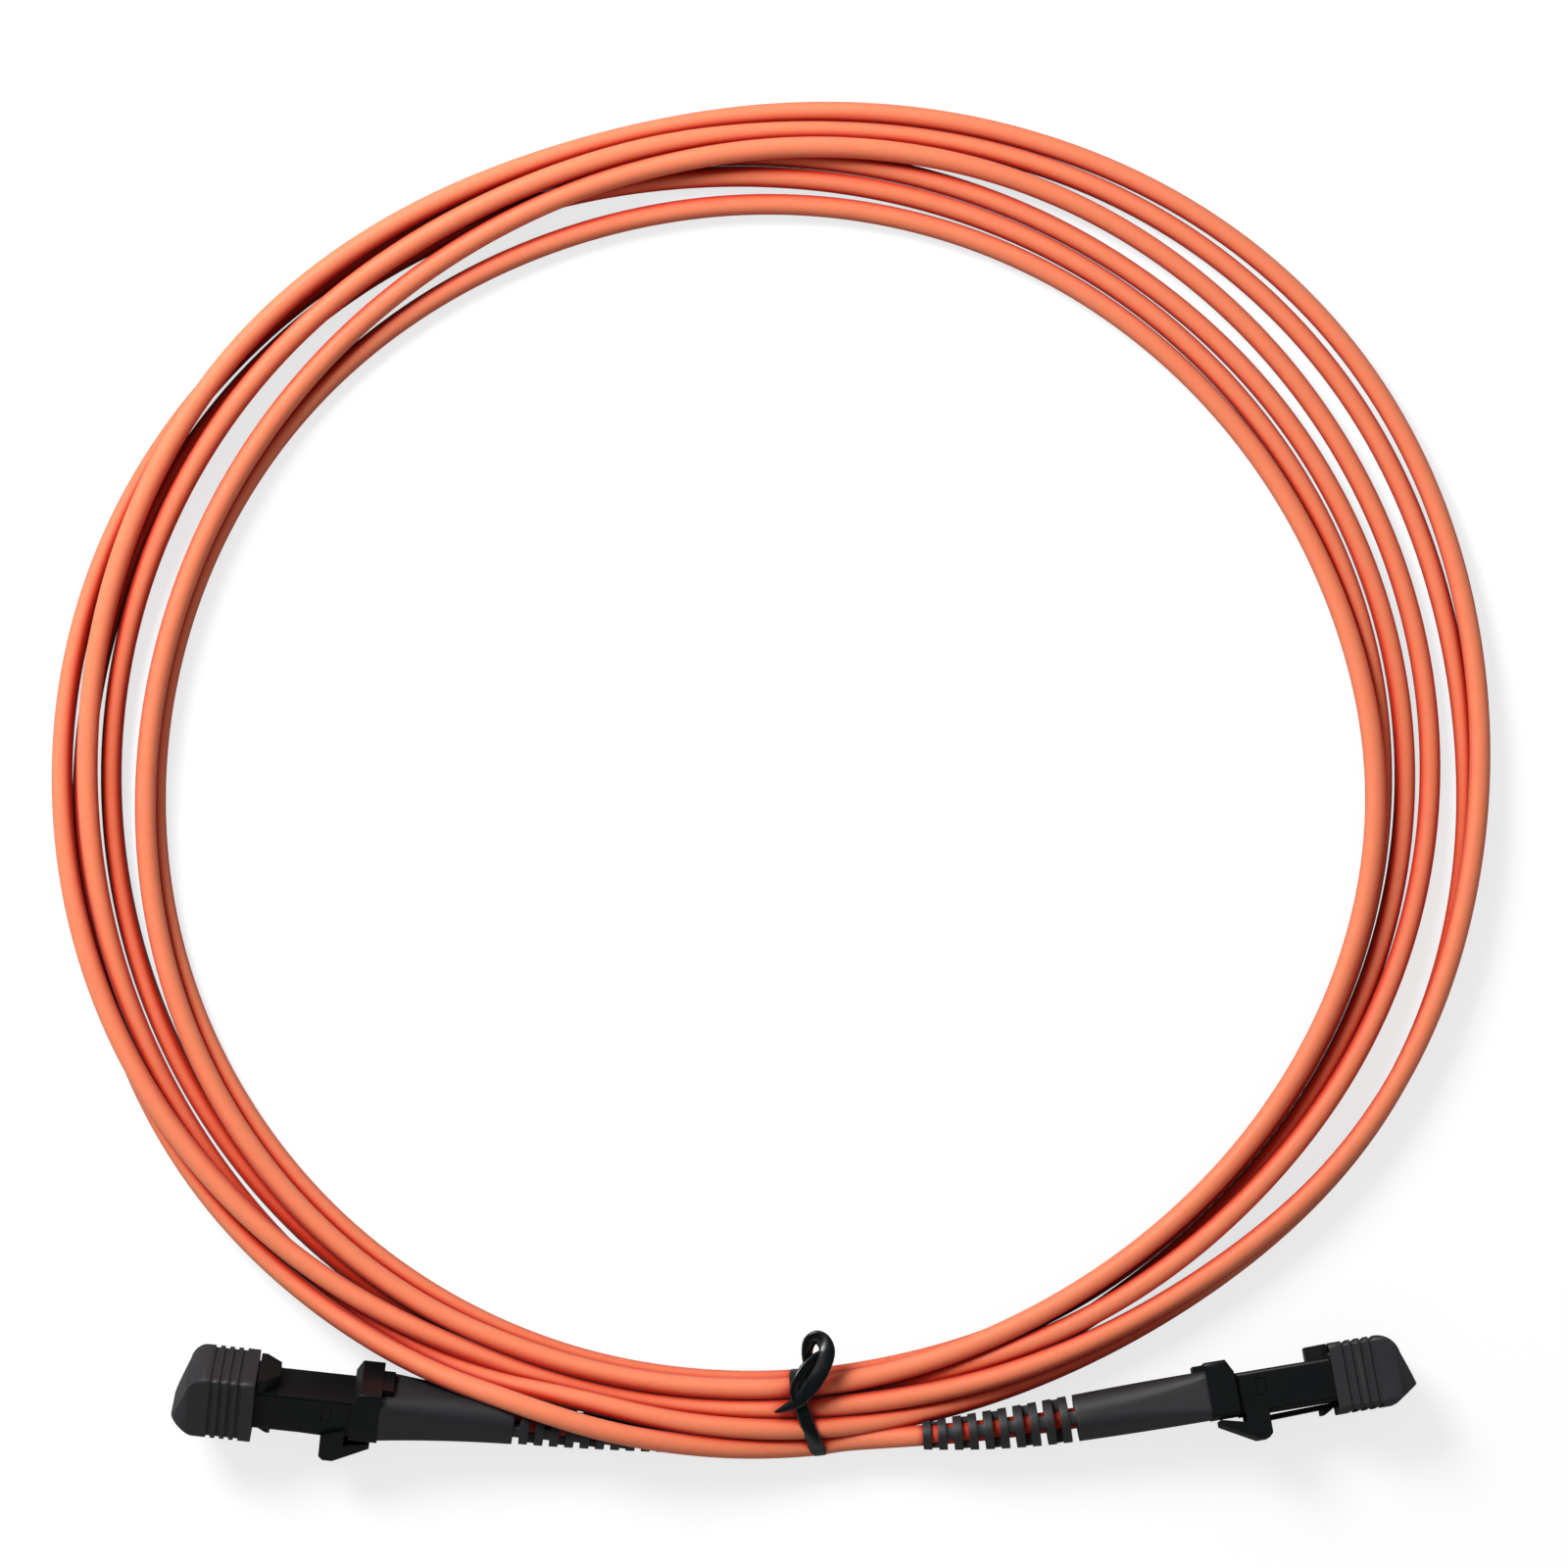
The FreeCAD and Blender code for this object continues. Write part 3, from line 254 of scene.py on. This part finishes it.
def add_object(name, data):
    """A new object of the scene, at the origin."""
    item = bpy.data.objects.new(name, data)
    bpy.context.scene.collection.objects.link(item)
    return item


def mesh_of(name, bm):
    """The finished mesh of a bmesh, which is freed."""
    mesh = bpy.data.meshes.new(name)
    bm.to_mesh(mesh)
    bm.free()
    return mesh


def empty_material(name):
    """A material without nodes, and its node tree."""
    material = bpy.data.materials.new(name)
    material.use_nodes = True
    tree = material.node_tree
    tree.nodes.clear()
    return material, tree


def moulded(name, colour, roughness, grain_mm, bump_mm, shade=0.06, **shader):
    """A moulded or extruded plastic: even colour, uneven gloss and a fine surface grain."""
    material, tree = empty_material(name)
    place = add_node(tree, "ShaderNodeTexCoord").outputs["Object"]
    cloud = add_node(
        tree, "ShaderNodeTexNoise",
        values={"Scale": 1/(CLOUD_GRAINS*grain_mm*MM), "Detail": 3.0, "Roughness": 0.55},
        links={"Vector": place},
    )
    grain = add_node(
        tree, "ShaderNodeTexNoise",
        values={"Scale": 1/(grain_mm*MM), "Detail": 2.0, "Roughness": 0.6},
        links={"Vector": place},
    )
    tint = add_node(
        tree, "ShaderNodeMix", {"data_type": "RGBA"},
        {MIX_A: srgb(colour), MIX_B: darker(colour, 1 - 2*shade)},
        {"Factor": cloud.outputs["Fac"]},
    )
    low, high = MOULDED_GLOSS
    gloss = add_node(
        tree, "ShaderNodeMapRange",
        values={"To Min": roughness + low, "To Max": roughness + high},
        links={"Value": cloud.outputs["Fac"]},
    )
    bump = add_node(
        tree, "ShaderNodeBump", values={"Strength": 0.35, "Distance": bump_mm*MM},
        links={"Height": grain.outputs["Fac"]},
    )
    surface = add_node(
        tree, "ShaderNodeBsdfPrincipled", values=shader,
        links={
            "Base Color": tint.outputs[MIX_RESULT], "Roughness": gloss.outputs["Result"],
            "Normal": bump.outputs["Normal"],
        },
    )
    add_node(tree, "ShaderNodeOutputMaterial", links={"Surface": surface.outputs["BSDF"]})
    return material


def metal(name, colour, roughness, line_mm):
    """A drawn metal: bright, with a gloss that varies in fine specks."""
    material, tree = empty_material(name)
    place = add_node(tree, "ShaderNodeTexCoord").outputs["Object"]
    lines = add_node(
        tree, "ShaderNodeTexNoise", values={"Scale": 1/(line_mm*MM), "Detail": 2.0},
        links={"Vector": place},
    )
    low, high = DRAWN_GLOSS
    gloss = add_node(
        tree, "ShaderNodeMapRange",
        values={"To Min": roughness + low, "To Max": roughness + high},
        links={"Value": lines.outputs["Fac"]},
    )
    surface = add_node(
        tree, "ShaderNodeBsdfPrincipled", values={"Base Color": srgb(colour), "Metallic": 1.0},
        links={"Roughness": gloss.outputs["Result"]},
    )
    add_node(tree, "ShaderNodeOutputMaterial", links={"Surface": surface.outputs["BSDF"]})
    return material


def dress(node, material):
    """Gives a node of the frame its material."""
    slots = NODES[node].data.materials
    slots.clear()
    slots.append(material)


def plug_place(side):
    """How a plug is turned in the frame, and where its cap's tip is in metres, from its joints."""
    u = Vector(JOINTS["ferrule_float_" + side]["axis"]).normalized()
    s = Vector(JOINTS["trigger_hinge_" + side]["axis"]).normalized()
    b = u.cross(s)
    hinge = Vector(JOINTS["trigger_hinge_" + side]["pos_m"])
    tip = hinge - u*HINGE_U*MM - b*HINGE_B*MM
    return Matrix((u, s, b)).transposed().to_4x4(), tip


def boot_bend(side, u):
    """Where the boot's bent axis is at u, in the plug's own axes, in millimetres."""
    past = max(0.0, u - RIB_START)
    if past == 0.0:
        return Vector((u, 0, 0))
    whole = math.radians(BOOT_BEND[side])
    turn = whole*past/(BOOT_END - RIB_START)
    radius = (BOOT_END - RIB_START)/whole
    return Vector((RIB_START + radius*math.sin(turn), 0, radius*(1 - math.cos(turn))))


def on_boot(side, u):
    """A point of the boot's bent axis in the frame, in millimetres."""
    turned, tip = plug_place(side)
    return turned @ boot_bend(side, u) + tip/MM


def boot_radius(u):
    """The ribbed tail's outer radius at u, in millimetres."""
    share = max(0.0, (u - RIB_START)/(BOOT_END - RIB_START))
    return BOOT_RIB_R - (BOOT_RIB_R - BOOT_TIP_R)*share**BOOT_NARROWING


def through(knots, at):
    """A cubic curve through (position, value) knots, read at the positions."""
    x = np.array([k[0] for k in knots], float)
    y = np.array([k[1] for k in knots], float)
    slope = np.gradient(y, x)
    i = np.clip(np.searchsorted(x, at) - 1, 0, len(x) - 2)
    width = x[i + 1] - x[i]
    t = (at - x[i])/width
    return (
        y[i]*(1 + 2*t)*(1 - t)**2 + slope[i]*width*t*(1 - t)**2
        + y[i + 1]*t*t*(3 - 2*t) + slope[i + 1]*width*t*t*(t - 1)
    )


def lap_points(thickness):
    """The cable's turns, settled so that they lie on each other, on the boot and on the floor."""
    radii = []
    heights = []
    for number, lap in enumerate(LAPS):
        radii += [(angle + 360*number, radius) for angle, radius, _ in lap]
        heights += [(angle + 360*number, height*thickness) for angle, _, height in lap]
    end = TAIL_JOIN
    end_angle = math.degrees(math.atan2(end.y, end.x)) + 360*len(LAPS)
    radii.append((end_angle, math.hypot(end.x, end.y)))
    heights.append((end_angle, end.z))
    angles = np.arange(radii[0][0], end_angle - LAP_STEP/2, LAP_STEP)
    r_wish = through(radii, angles)
    z_wish = through(heights, angles)
    r, z = settled(angles, r_wish, z_wish, thickness)
    a = np.radians(angles)
    return [
        COIL_CENTRE + Vector((r[i]*math.cos(a[i]), r[i]*math.sin(a[i]), z[i]))
        for i in range(len(angles))
    ]


def settled(angles, r_wish, z_wish, thickness):
    """Moves the turns apart, where they would cut through each other, to where they rest."""
    lap = 360//LAP_STEP
    r, z = r_wish.copy(), z_wish.copy()
    near_tie = np.abs((angles - TIE_ANGLE + 180) % 360 - 180)
    floor = thickness/2 + TIE_FLOOR*np.interp(near_tie, TIE_LIFT_ENDS, (1, 0))
    places = np.linspace(RIB_START - BOOT_LEAD, BOOT_END, BOOT_PLACES)
    boot = [on_boot("left", u) - COIL_CENTRE for u in places]
    boot_angles = [math.degrees(math.atan2(p.y, p.x)) % 360 for p in boot]
    around = angles % 360
    boot_r = np.interp(around, boot_angles, [math.hypot(p.x, p.y) for p in boot])
    boot_z = np.interp(around, boot_angles, [p.z for p in boot])
    sizes = np.interp(around, boot_angles, [boot_radius(u) for u in places])
    room = sizes + thickness/2 + BOOT_ROOM
    over = (around > boot_angles[0]) & (around < boot_angles[-1]) & (angles > 0)
    for _ in range(SETTLE_ROUNDS):
        r += PULL_RADIUS*(r_wish - r)
        z += PULL_HEIGHT*(z_wish - z)
        for values in (r, z):
            values[1:-1] += SMOOTHING*(values[:-2] - 2*values[1:-1] + values[2:])
        for step in range(1, len(LAPS) + 1):
            i = np.arange(len(angles) - step*lap)
            j = i + step*lap
            dr, dz = r[j] - r[i], z[j] - z[i]
            apart = np.maximum(np.hypot(dr, dz), NEAREST)
            push = 0.5*np.maximum(0, TURN_ROOM*thickness - apart)/apart
            r[i] -= push*dr*SIDEWAYS
            z[i] -= push*dz
            r[j] += push*dr*SIDEWAYS
            z[j] += push*dz
        dr, dz = r - boot_r, z - boot_z
        apart = np.maximum(np.hypot(dr, dz), NEAREST)
        push = np.where(over, np.maximum(0, room - apart)/apart, 0)
        r += push*dr
        z += push*dz
        z = np.maximum(z, floor)
        r[0], z[0] = r_wish[0], z_wish[0]
    return r, z


def cord_route(thickness):
    """The cable from the left plug's neck through the coil to the right plug's neck."""
    left = [on_boot("left", u) for u in CABLE_IN_BOOT[:-1]]
    right = [on_boot("right", u) for u in CABLE_IN_BOOT]
    join = COIL_CENTRE + TAIL_JOIN
    corner = (right[-1] + join)/2
    return left + lap_points(thickness) + [join, corner] + right[::-1]


class CordSettings(bpy.types.PropertyGroup):
    """Size and colour of the cable."""

    thickness: FloatProperty(
        name="Thickness", description="Outer diameter of the cable, in millimetres",
        default=3.0, min=0.5, max=10.0,
    )
    sides: IntProperty(
        name="Roundness", description="Steps round the cable's section",
        default=6, min=1, max=12,
    )
    colour: StringProperty(
        name="Colour", description="Colour of the cable's jacket", default="#F88E66",
    )
    # painted shade: the deep colour is painted on the jacket between the turns, where they shade each
    # other
    painted_shade_colour: StringProperty(
        name="Deep colour", description="Colour of the jacket between the turns",
        default="#CE2C10",
    )


class PlugSettings(bpy.types.PropertyGroup):
    """Colours and edges of the plugs."""

    body_colour: StringProperty(
        name="Body", description="Colour of the smooth plug mouldings", default="#0A0D0F",
    )
    cap_colour: StringProperty(
        name="Cap", description="Colour of the dust caps", default="#262428",
    )
    boot_colour: StringProperty(
        name="Boot", description="Colour of the bend boots", default="#232226",
    )
    edge: FloatProperty(
        name="Edge", description="Rounding of the moulded edges, in millimetres",
        default=0.15, min=0.0, max=0.5,
    )


class TieSettings(bpy.types.PropertyGroup):
    """Size and colour of the twist tie."""

    width: FloatProperty(
        name="Width", description="Width of the ribbon, in millimetres",
        default=2.3, min=0.5, max=10.0,
    )
    thickness: FloatProperty(
        name="Thickness", description="Thickness of the ribbon, in millimetres",
        default=0.75, min=0.1, max=3.0,
    )
    colour: StringProperty(
        name="Colour", description="Colour of the tie's plastic", default="#0C1012",
    )


class StageSettings(bpy.types.PropertyGroup):
    """Camera and light."""

    distance: FloatProperty(
        name="Camera height", description="Height of the camera over the coil, in millimetres",
        default=702.8, min=100.0, max=5000.0,
    )
    view_width: FloatProperty(
        name="View width", description="Width that the camera sees, in millimetres",
        default=224.0, min=10.0, max=2000.0,
    )
    key: FloatProperty(
        name="Key light", description="Power of the large light, in watts",
        default=6.6, min=0.0, max=100.0, unit="POWER",
    )
    sky: FloatProperty(
        name="Sky", description="Strength of the even light from all round",
        default=0.38, min=0.0, max=5.0,
    )


class PATCHCORD_OT_cable(bpy.types.Operator):
    """Makes the cable along its real route"""

    bl_idname = "patchcord.cable"
    bl_label = "Cable"

    def execute(self, context):
        settings = context.scene.patch_cord
        curve = bpy.data.curves.new("cable", "CURVE")
        curve.dimensions = "3D"
        curve.bevel_depth = settings.thickness/2*MM
        curve.bevel_resolution = settings.sides
        curve.resolution_u = 3
        curve.use_fill_caps = True
        route = cord_route(settings.thickness)
        spline = curve.splines.new("NURBS")
        spline.points.add(len(route) - 1)
        for point, place in zip(spline.points, route):
            point.co = (*(place*MM), 1.0)
        spline.order_u = 3
        spline.use_endpoint_u = True
        cable = add_object("cable", curve)
        curve.materials.append(jacket(settings.colour, settings.painted_shade_colour))
        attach(cable, "cord")
        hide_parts("cord_tail_left", "cord_tail_right", "cord_coil")
        return {"FINISHED"}


def jacket(colour, painted_shade_colour):
    """The cable's jacket, with a painted shade of its deep colour where other turns crowd round it."""
    # soft vinyl, extruded: satin, with a faint bloom. light goes a little way in and comes out redder.
    # between two turns the colour is painted darker and deep red, a painted shade placed by ambient
    # occlusion
    material = moulded(
        "cable jacket, extruded", colour, roughness=0.5, grain_mm=0.35, bump_mm=0.008, shade=0.02,
        **{
            "Specular IOR Level": 0.25, "Subsurface Weight": 0.6, "Subsurface Scale": 1.5*MM,
            "Subsurface Radius": (1.0, 0.15, 0.06), "Sheen Weight": 0.2, "Sheen Roughness": 0.4,
        },
    )
    tree = material.node_tree
    shader = next(node for node in tree.nodes if node.type == "BSDF_PRINCIPLED")
    plain = shader.inputs["Base Color"].links[0].from_socket
    # painted shade: ambient occlusion darkens the jacket's colour towards the deep colour between turns,
    # and darker still in the tightest hollows
    painted_shade_ao = add_node(
        tree, "ShaderNodeAmbientOcclusion", {"samples": 8}, {"Distance": PAINTED_SHADE_REACH*MM},
    ).outputs["AO"]
    darkest_shade_share = add_node(
        tree, "ShaderNodeMapRange", values={"From Min": 0.1, "From Max": 0.4},
        links={"Value": painted_shade_ao},
    )
    painted_shade_tone = add_node(
        tree, "ShaderNodeMix", {"data_type": "RGBA"},
        {MIX_A: darker(painted_shade_colour, DARKEST_PAINTED_SHADE), MIX_B: srgb(painted_shade_colour)},
        {"Factor": darkest_shade_share.outputs["Result"]},
    )
    unshaded_share = add_node(
        tree, "ShaderNodeMapRange", values={"From Min": 0.5, "From Max": 0.97},
        links={"Value": painted_shade_ao},
    )
    # the jacket's own colour where it is open, the painted shade where other turns crowd it
    both = add_node(
        tree, "ShaderNodeMix", {"data_type": "RGBA"},
        links={
            "Factor": unshaded_share.outputs["Result"], MIX_A: painted_shade_tone.outputs[MIX_RESULT], MIX_B: plain,
        },
    )
    tree.links.new(both.outputs[MIX_RESULT], shader.inputs["Base Color"])
    return material


class PATCHCORD_OT_plugs(bpy.types.Operator):
    """Finishes the plugs, the dust caps and the boots"""

    bl_idname = "patchcord.plugs"
    bl_label = "Plugs"

    def execute(self, context):
        settings = context.scene.patch_plug
        # glass-filled resin from a polished mould: near black, smooth, with broad dim lights
        body = moulded(
            "plug plastic, moulded", settings.body_colour, roughness=0.4, grain_mm=0.3,
            bump_mm=0.004, **{"Specular IOR Level": 0.25},
        )
        # soft polyethylene from an eroded mould: dark grey, with a fine even grain
        cap = moulded(
            "cap plastic, moulded", settings.cap_colour, roughness=0.5, grain_mm=0.25,
            bump_mm=0.012,
        )
        # rubbery elastomer, moulded: the mattest black, with the deepest grain
        boot = moulded(
            "boot elastomer, moulded", settings.boot_colour, roughness=0.55, grain_mm=0.25,
            bump_mm=0.015,
        )
        # mineral-filled resin, moulded to a close size: dark grey and even
        ferrule = moulded(
            "ferrule resin, moulded", "#2A2A2C", roughness=0.45, grain_mm=0.2, bump_mm=0.004,
        )
        # soft rubber, extruded: dark and matt
        sleeve = moulded(
            "soft sleeve, extruded", "#202020", roughness=0.6, grain_mm=0.2, bump_mm=0.004,
        )
        # spring steel, drawn and rolled: grey with sharp lights
        steel = metal("spring steel, drawn", "#B5B7BA", roughness=0.3, line_mm=0.1)
        # aluminium tube, drawn: paler and softer than the steel
        crimp = metal("crimp aluminium, drawn", "#CFCFD2", roughness=0.35, line_mm=0.1)
        # glass in an acrylate coating, drawn: pale and smooth
        glass = moulded("coated fibre", "#E8EEF2", roughness=0.2, grain_mm=0.2, bump_mm=0.001)
        finishes = {
            "dust_cap": cap, "plug_housing": body, "latch_arm": body, "latch_trigger": body,
            "rear_body": body, "bend_boot": boot, "ferrule": ferrule, "ferrule_sleeve": sleeve,
            "pin_keeper": steel, "ferrule_spring": steel, "crimp_ring": crimp, "fibre_pair": glass,
        }
        for piece, material in finishes.items():
            for side in SIDES:
                dress(piece + "_" + side, material)
        for piece in OUTSIDE:
            for side in SIDES:
                soften(NODES[piece + "_" + side], settings.edge)
        return {"FINISHED"}


def soften(piece, edge_mm):
    """Rounds a moulding's edges a little."""
    weld = piece.modifiers.new("Weld", "WELD")
    weld.merge_threshold = MERGE_REACH*MM
    bevel = piece.modifiers.new("Bevel", "BEVEL")
    bevel.width = edge_mm*MM
    bevel.segments = 2
    bevel.limit_method = "ANGLE"
    bevel.angle_limit = math.radians(EDGE_ANGLE)


class PATCHCORD_OT_tie(bpy.types.Operator):
    """Makes the twist tie: a ribbon round the turns with its ends twisted together"""

    bl_idname = "patchcord.tie"
    bl_label = "Twist tie"

    def execute(self, context):
        settings = context.scene.patch_tie
        bm = bmesh.new()
        add_ribbon(bm, TIE_RING, settings.width, settings.thickness, closed=True)
        for strand in (TIE_FRONT, TIE_BACK):
            add_ribbon(bm, strand, settings.width, settings.thickness)
        bmesh.ops.recalc_face_normals(bm, faces=bm.faces)
        for face in bm.faces:
            face.smooth = True
        mesh = mesh_of("tie_ribbon", bm)
        tie = add_object("tie_ribbon", mesh)
        # soft plastic, extruded flat over a wire: glossy near black, with sharp edge lights
        plastic = moulded(
            "tie plastic, extruded", settings.colour, roughness=0.2, grain_mm=0.4, bump_mm=0.006,
        )
        mesh.materials.append(plastic)
        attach(tie, "cord")
        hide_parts("twist_tie")
        return {"FINISHED"}


def add_ribbon(bm, knots, width, thickness, closed=False):
    """Bridges flat, round-edged sections that stand along a ribbon's knots."""
    count = len(knots)
    steps = RIBBON_STEPS*(count if closed else count - 1)
    sections = []
    for k in range(steps if closed else steps + 1):
        at = k/RIBBON_STEPS
        place, across, share = ribbon_at(knots, at, closed)
        ahead, _, _ = ribbon_at(knots, at + RIBBON_PROBE, closed)
        behind, _, _ = ribbon_at(knots, at - RIBBON_PROBE, closed)
        way = (ahead - behind).normalized()
        across = (across - way*across.dot(way)).normalized()
        up = way.cross(across)
        is_end = not closed and k in (0, steps)
        made = bmesh.ops.create_circle(bm, cap_ends=is_end, segments=RIBBON_SIDES, radius=1.0)
        for vert in made["verts"]:
            x, y, _ = vert.co
            flat = math.copysign(abs(x)**RIBBON_ACROSS, x)*width/2*share
            thick = math.copysign(abs(y)**RIBBON_THROUGH, y)*thickness/2
            vert.co = (place + across*flat + up*thick*min(1.0, share + RIBBON_KEEP))*MM
        sections.append(edges_of(made["verts"]))
    following = sections[1:] + (sections[:1] if closed else [])
    for section, after in zip(sections, following):
        bmesh.ops.bridge_loops(bm, edges=section + after)


def edges_of(verts):
    """The edges at some points of a bmesh, each once."""
    return list(dict.fromkeys(edge for vert in verts for edge in vert.link_edges))


def ribbon_at(knots, at, closed):
    """A ribbon's place, across direction and share of the width, on a curve through its knots."""
    count = len(knots)
    last = count if closed else count - 1
    at = at % last if closed else min(max(at, 0.0), last - 1e-6)
    i = int(at)
    t = at - i
    ids = [(i + k) % count if closed else min(max(i + k, 0), count - 1) for k in (-1, 0, 1, 2)]
    w = (
        (-t + 2*t*t - t**3)/2, (2 - 5*t*t + 3*t**3)/2, (t + 4*t*t - 3*t**3)/2, (t**3 - t*t)/2,
    )
    place = sum((Vector(knots[k][0])*f for k, f in zip(ids, w)), Vector())
    across = sum((Vector(knots[k][1])*f for k, f in zip(ids, w)), Vector())
    share = sum(knots[k][2]*f for k, f in zip(ids, w))
    return place, across, share


class PATCHCORD_OT_stage(bpy.types.Operator):
    """Sets up the floor, the camera over the coil, the key light and the sky"""

    bl_idname = "patchcord.stage"
    bl_label = "Stage"

    def execute(self, context):
        settings = context.scene.patch_stage
        scene = context.scene
        scene.view_settings.view_transform = "Standard"
        make_floor()
        make_camera(scene, settings)
        make_light("key", settings.key, KEY_SIZE, KEY_PLACE)
        make_sky(scene, settings.sky)
        return {"FINISHED"}


def make_floor():
    """A wide white floor that keeps the object's shadow."""
    bm = bmesh.new()
    bmesh.ops.create_grid(bm, x_segments=1, y_segments=1, size=FLOOR_HALF)
    mesh = mesh_of("floor", bm)
    floor = add_object("floor", mesh)
    # painted board: matt pale grey to the object, and raised to white for the camera alone
    material, tree = empty_material("white floor")
    path = add_node(tree, "ShaderNodeLightPath")
    matt = add_node(tree, "ShaderNodeBsdfDiffuse", values={"Color": (*[FLOOR_GREY]*3, 1.0)})
    own = add_node(
        tree, "ShaderNodeMath", {"operation": "MULTIPLY"}, {1: FLOOR_WHITE},
        {0: path.outputs["Is Camera Ray"]},
    )
    glow = add_node(tree, "ShaderNodeEmission", links={"Strength": own.outputs[0]})
    both = add_node(tree, "ShaderNodeAddShader", links={0: matt.outputs[0], 1: glow.outputs[0]})
    add_node(tree, "ShaderNodeOutputMaterial", links={"Surface": both.outputs[0]})
    mesh.materials.append(material)
    return floor


def make_camera(scene, settings):
    """Looks straight down on the coil, as the photograph does."""
    data = bpy.data.cameras.new("camera")
    data.lens = data.sensor_width*(settings.distance - VIEW_HEIGHT)/settings.view_width
    data.clip_start = 0.01
    camera = add_object("camera", data)
    camera.location = (CAMERA_X*MM, CAMERA_Y*MM, settings.distance*MM)
    scene.camera = camera


def make_light(name, power, size, place):
    """A square soft light that faces the coil's middle."""
    data = bpy.data.lights.new(name, "AREA")
    data.energy = power
    data.size = size
    lamp = add_object(name, data)
    lamp.location = place
    lamp.rotation_euler = (-Vector(place)).to_track_quat("-Z", "Y").to_euler()


def make_sky(scene, strength):
    """Even light from all round, white to the camera, and bright low down where gloss shows it."""
    world = bpy.data.worlds.new("studio")
    world.use_nodes = True
    tree = world.node_tree
    tree.nodes.clear()
    path = add_node(tree, "ShaderNodeLightPath")
    way = add_node(tree, "ShaderNodeTexCoord").outputs["Generated"]
    split = add_node(tree, "ShaderNodeSeparateXYZ", links={"Vector": way})
    shine = add_node(
        tree, "ShaderNodeMapRange",
        values={"From Min": 0.3, "From Max": 0.6, "To Min": 0.8, "To Max": 0.06},
        links={"Value": split.outputs["Z"]},
    )
    plain = add_node(
        tree, "ShaderNodeMapRange", values={"To Min": strength, "To Max": 1.0},
        links={"Value": path.outputs["Is Camera Ray"]},
    )
    level = add_node(
        tree, "ShaderNodeMix", {"data_type": "FLOAT"},
        links={
            "Factor": path.outputs["Is Glossy Ray"], "A": plain.outputs[0],
            "B": shine.outputs[0],
        },
    )
    back = add_node(tree, "ShaderNodeBackground", links={"Strength": level.outputs["Result"]})
    add_node(tree, "ShaderNodeOutputWorld", links={"Surface": back.outputs[0]})
    scene.world = world


class PATCHCORD_PT_panel(bpy.types.Panel):
    """Shows the cord's settings and the buttons that make its pieces in the sidebar"""

    bl_label = "Patch Cord"
    bl_idname = "PATCHCORD_PT_panel"
    bl_space_type = "VIEW_3D"
    bl_region_type = "UI"
    bl_category = "Patch Cord"

    def draw(self, context):
        scene = context.scene
        for owner, operator in (
            (scene.patch_cord, "patchcord.cable"), (scene.patch_plug, "patchcord.plugs"),
            (scene.patch_tie, "patchcord.tie"), (scene.patch_stage, "patchcord.stage"),
        ):
            box = self.layout.box()
            for name in owner.__annotations__:
                box.prop(owner, name)
            box.operator(operator)


GROUPS = {
    "patch_cord": CordSettings, "patch_plug": PlugSettings, "patch_tie": TieSettings,
    "patch_stage": StageSettings,
}
CLASSES = (
    *GROUPS.values(), PATCHCORD_OT_cable, PATCHCORD_OT_plugs, PATCHCORD_OT_tie,
    PATCHCORD_OT_stage, PATCHCORD_PT_panel,
)


def register():
    for item in CLASSES:
        bpy.utils.register_class(item)
    for name, group in GROUPS.items():
        setattr(bpy.types.Scene, name, PointerProperty(type=group))


def unregister():
    for name in GROUPS:
        delattr(bpy.types.Scene, name)
    for item in reversed(CLASSES):
        bpy.utils.unregister_class(item)


def main():
    register()
    bpy.ops.patchcord.stage()
    bpy.ops.patchcord.cable()
    bpy.ops.patchcord.plugs()
    bpy.ops.patchcord.tie()


if __name__ == "__main__":
    main()
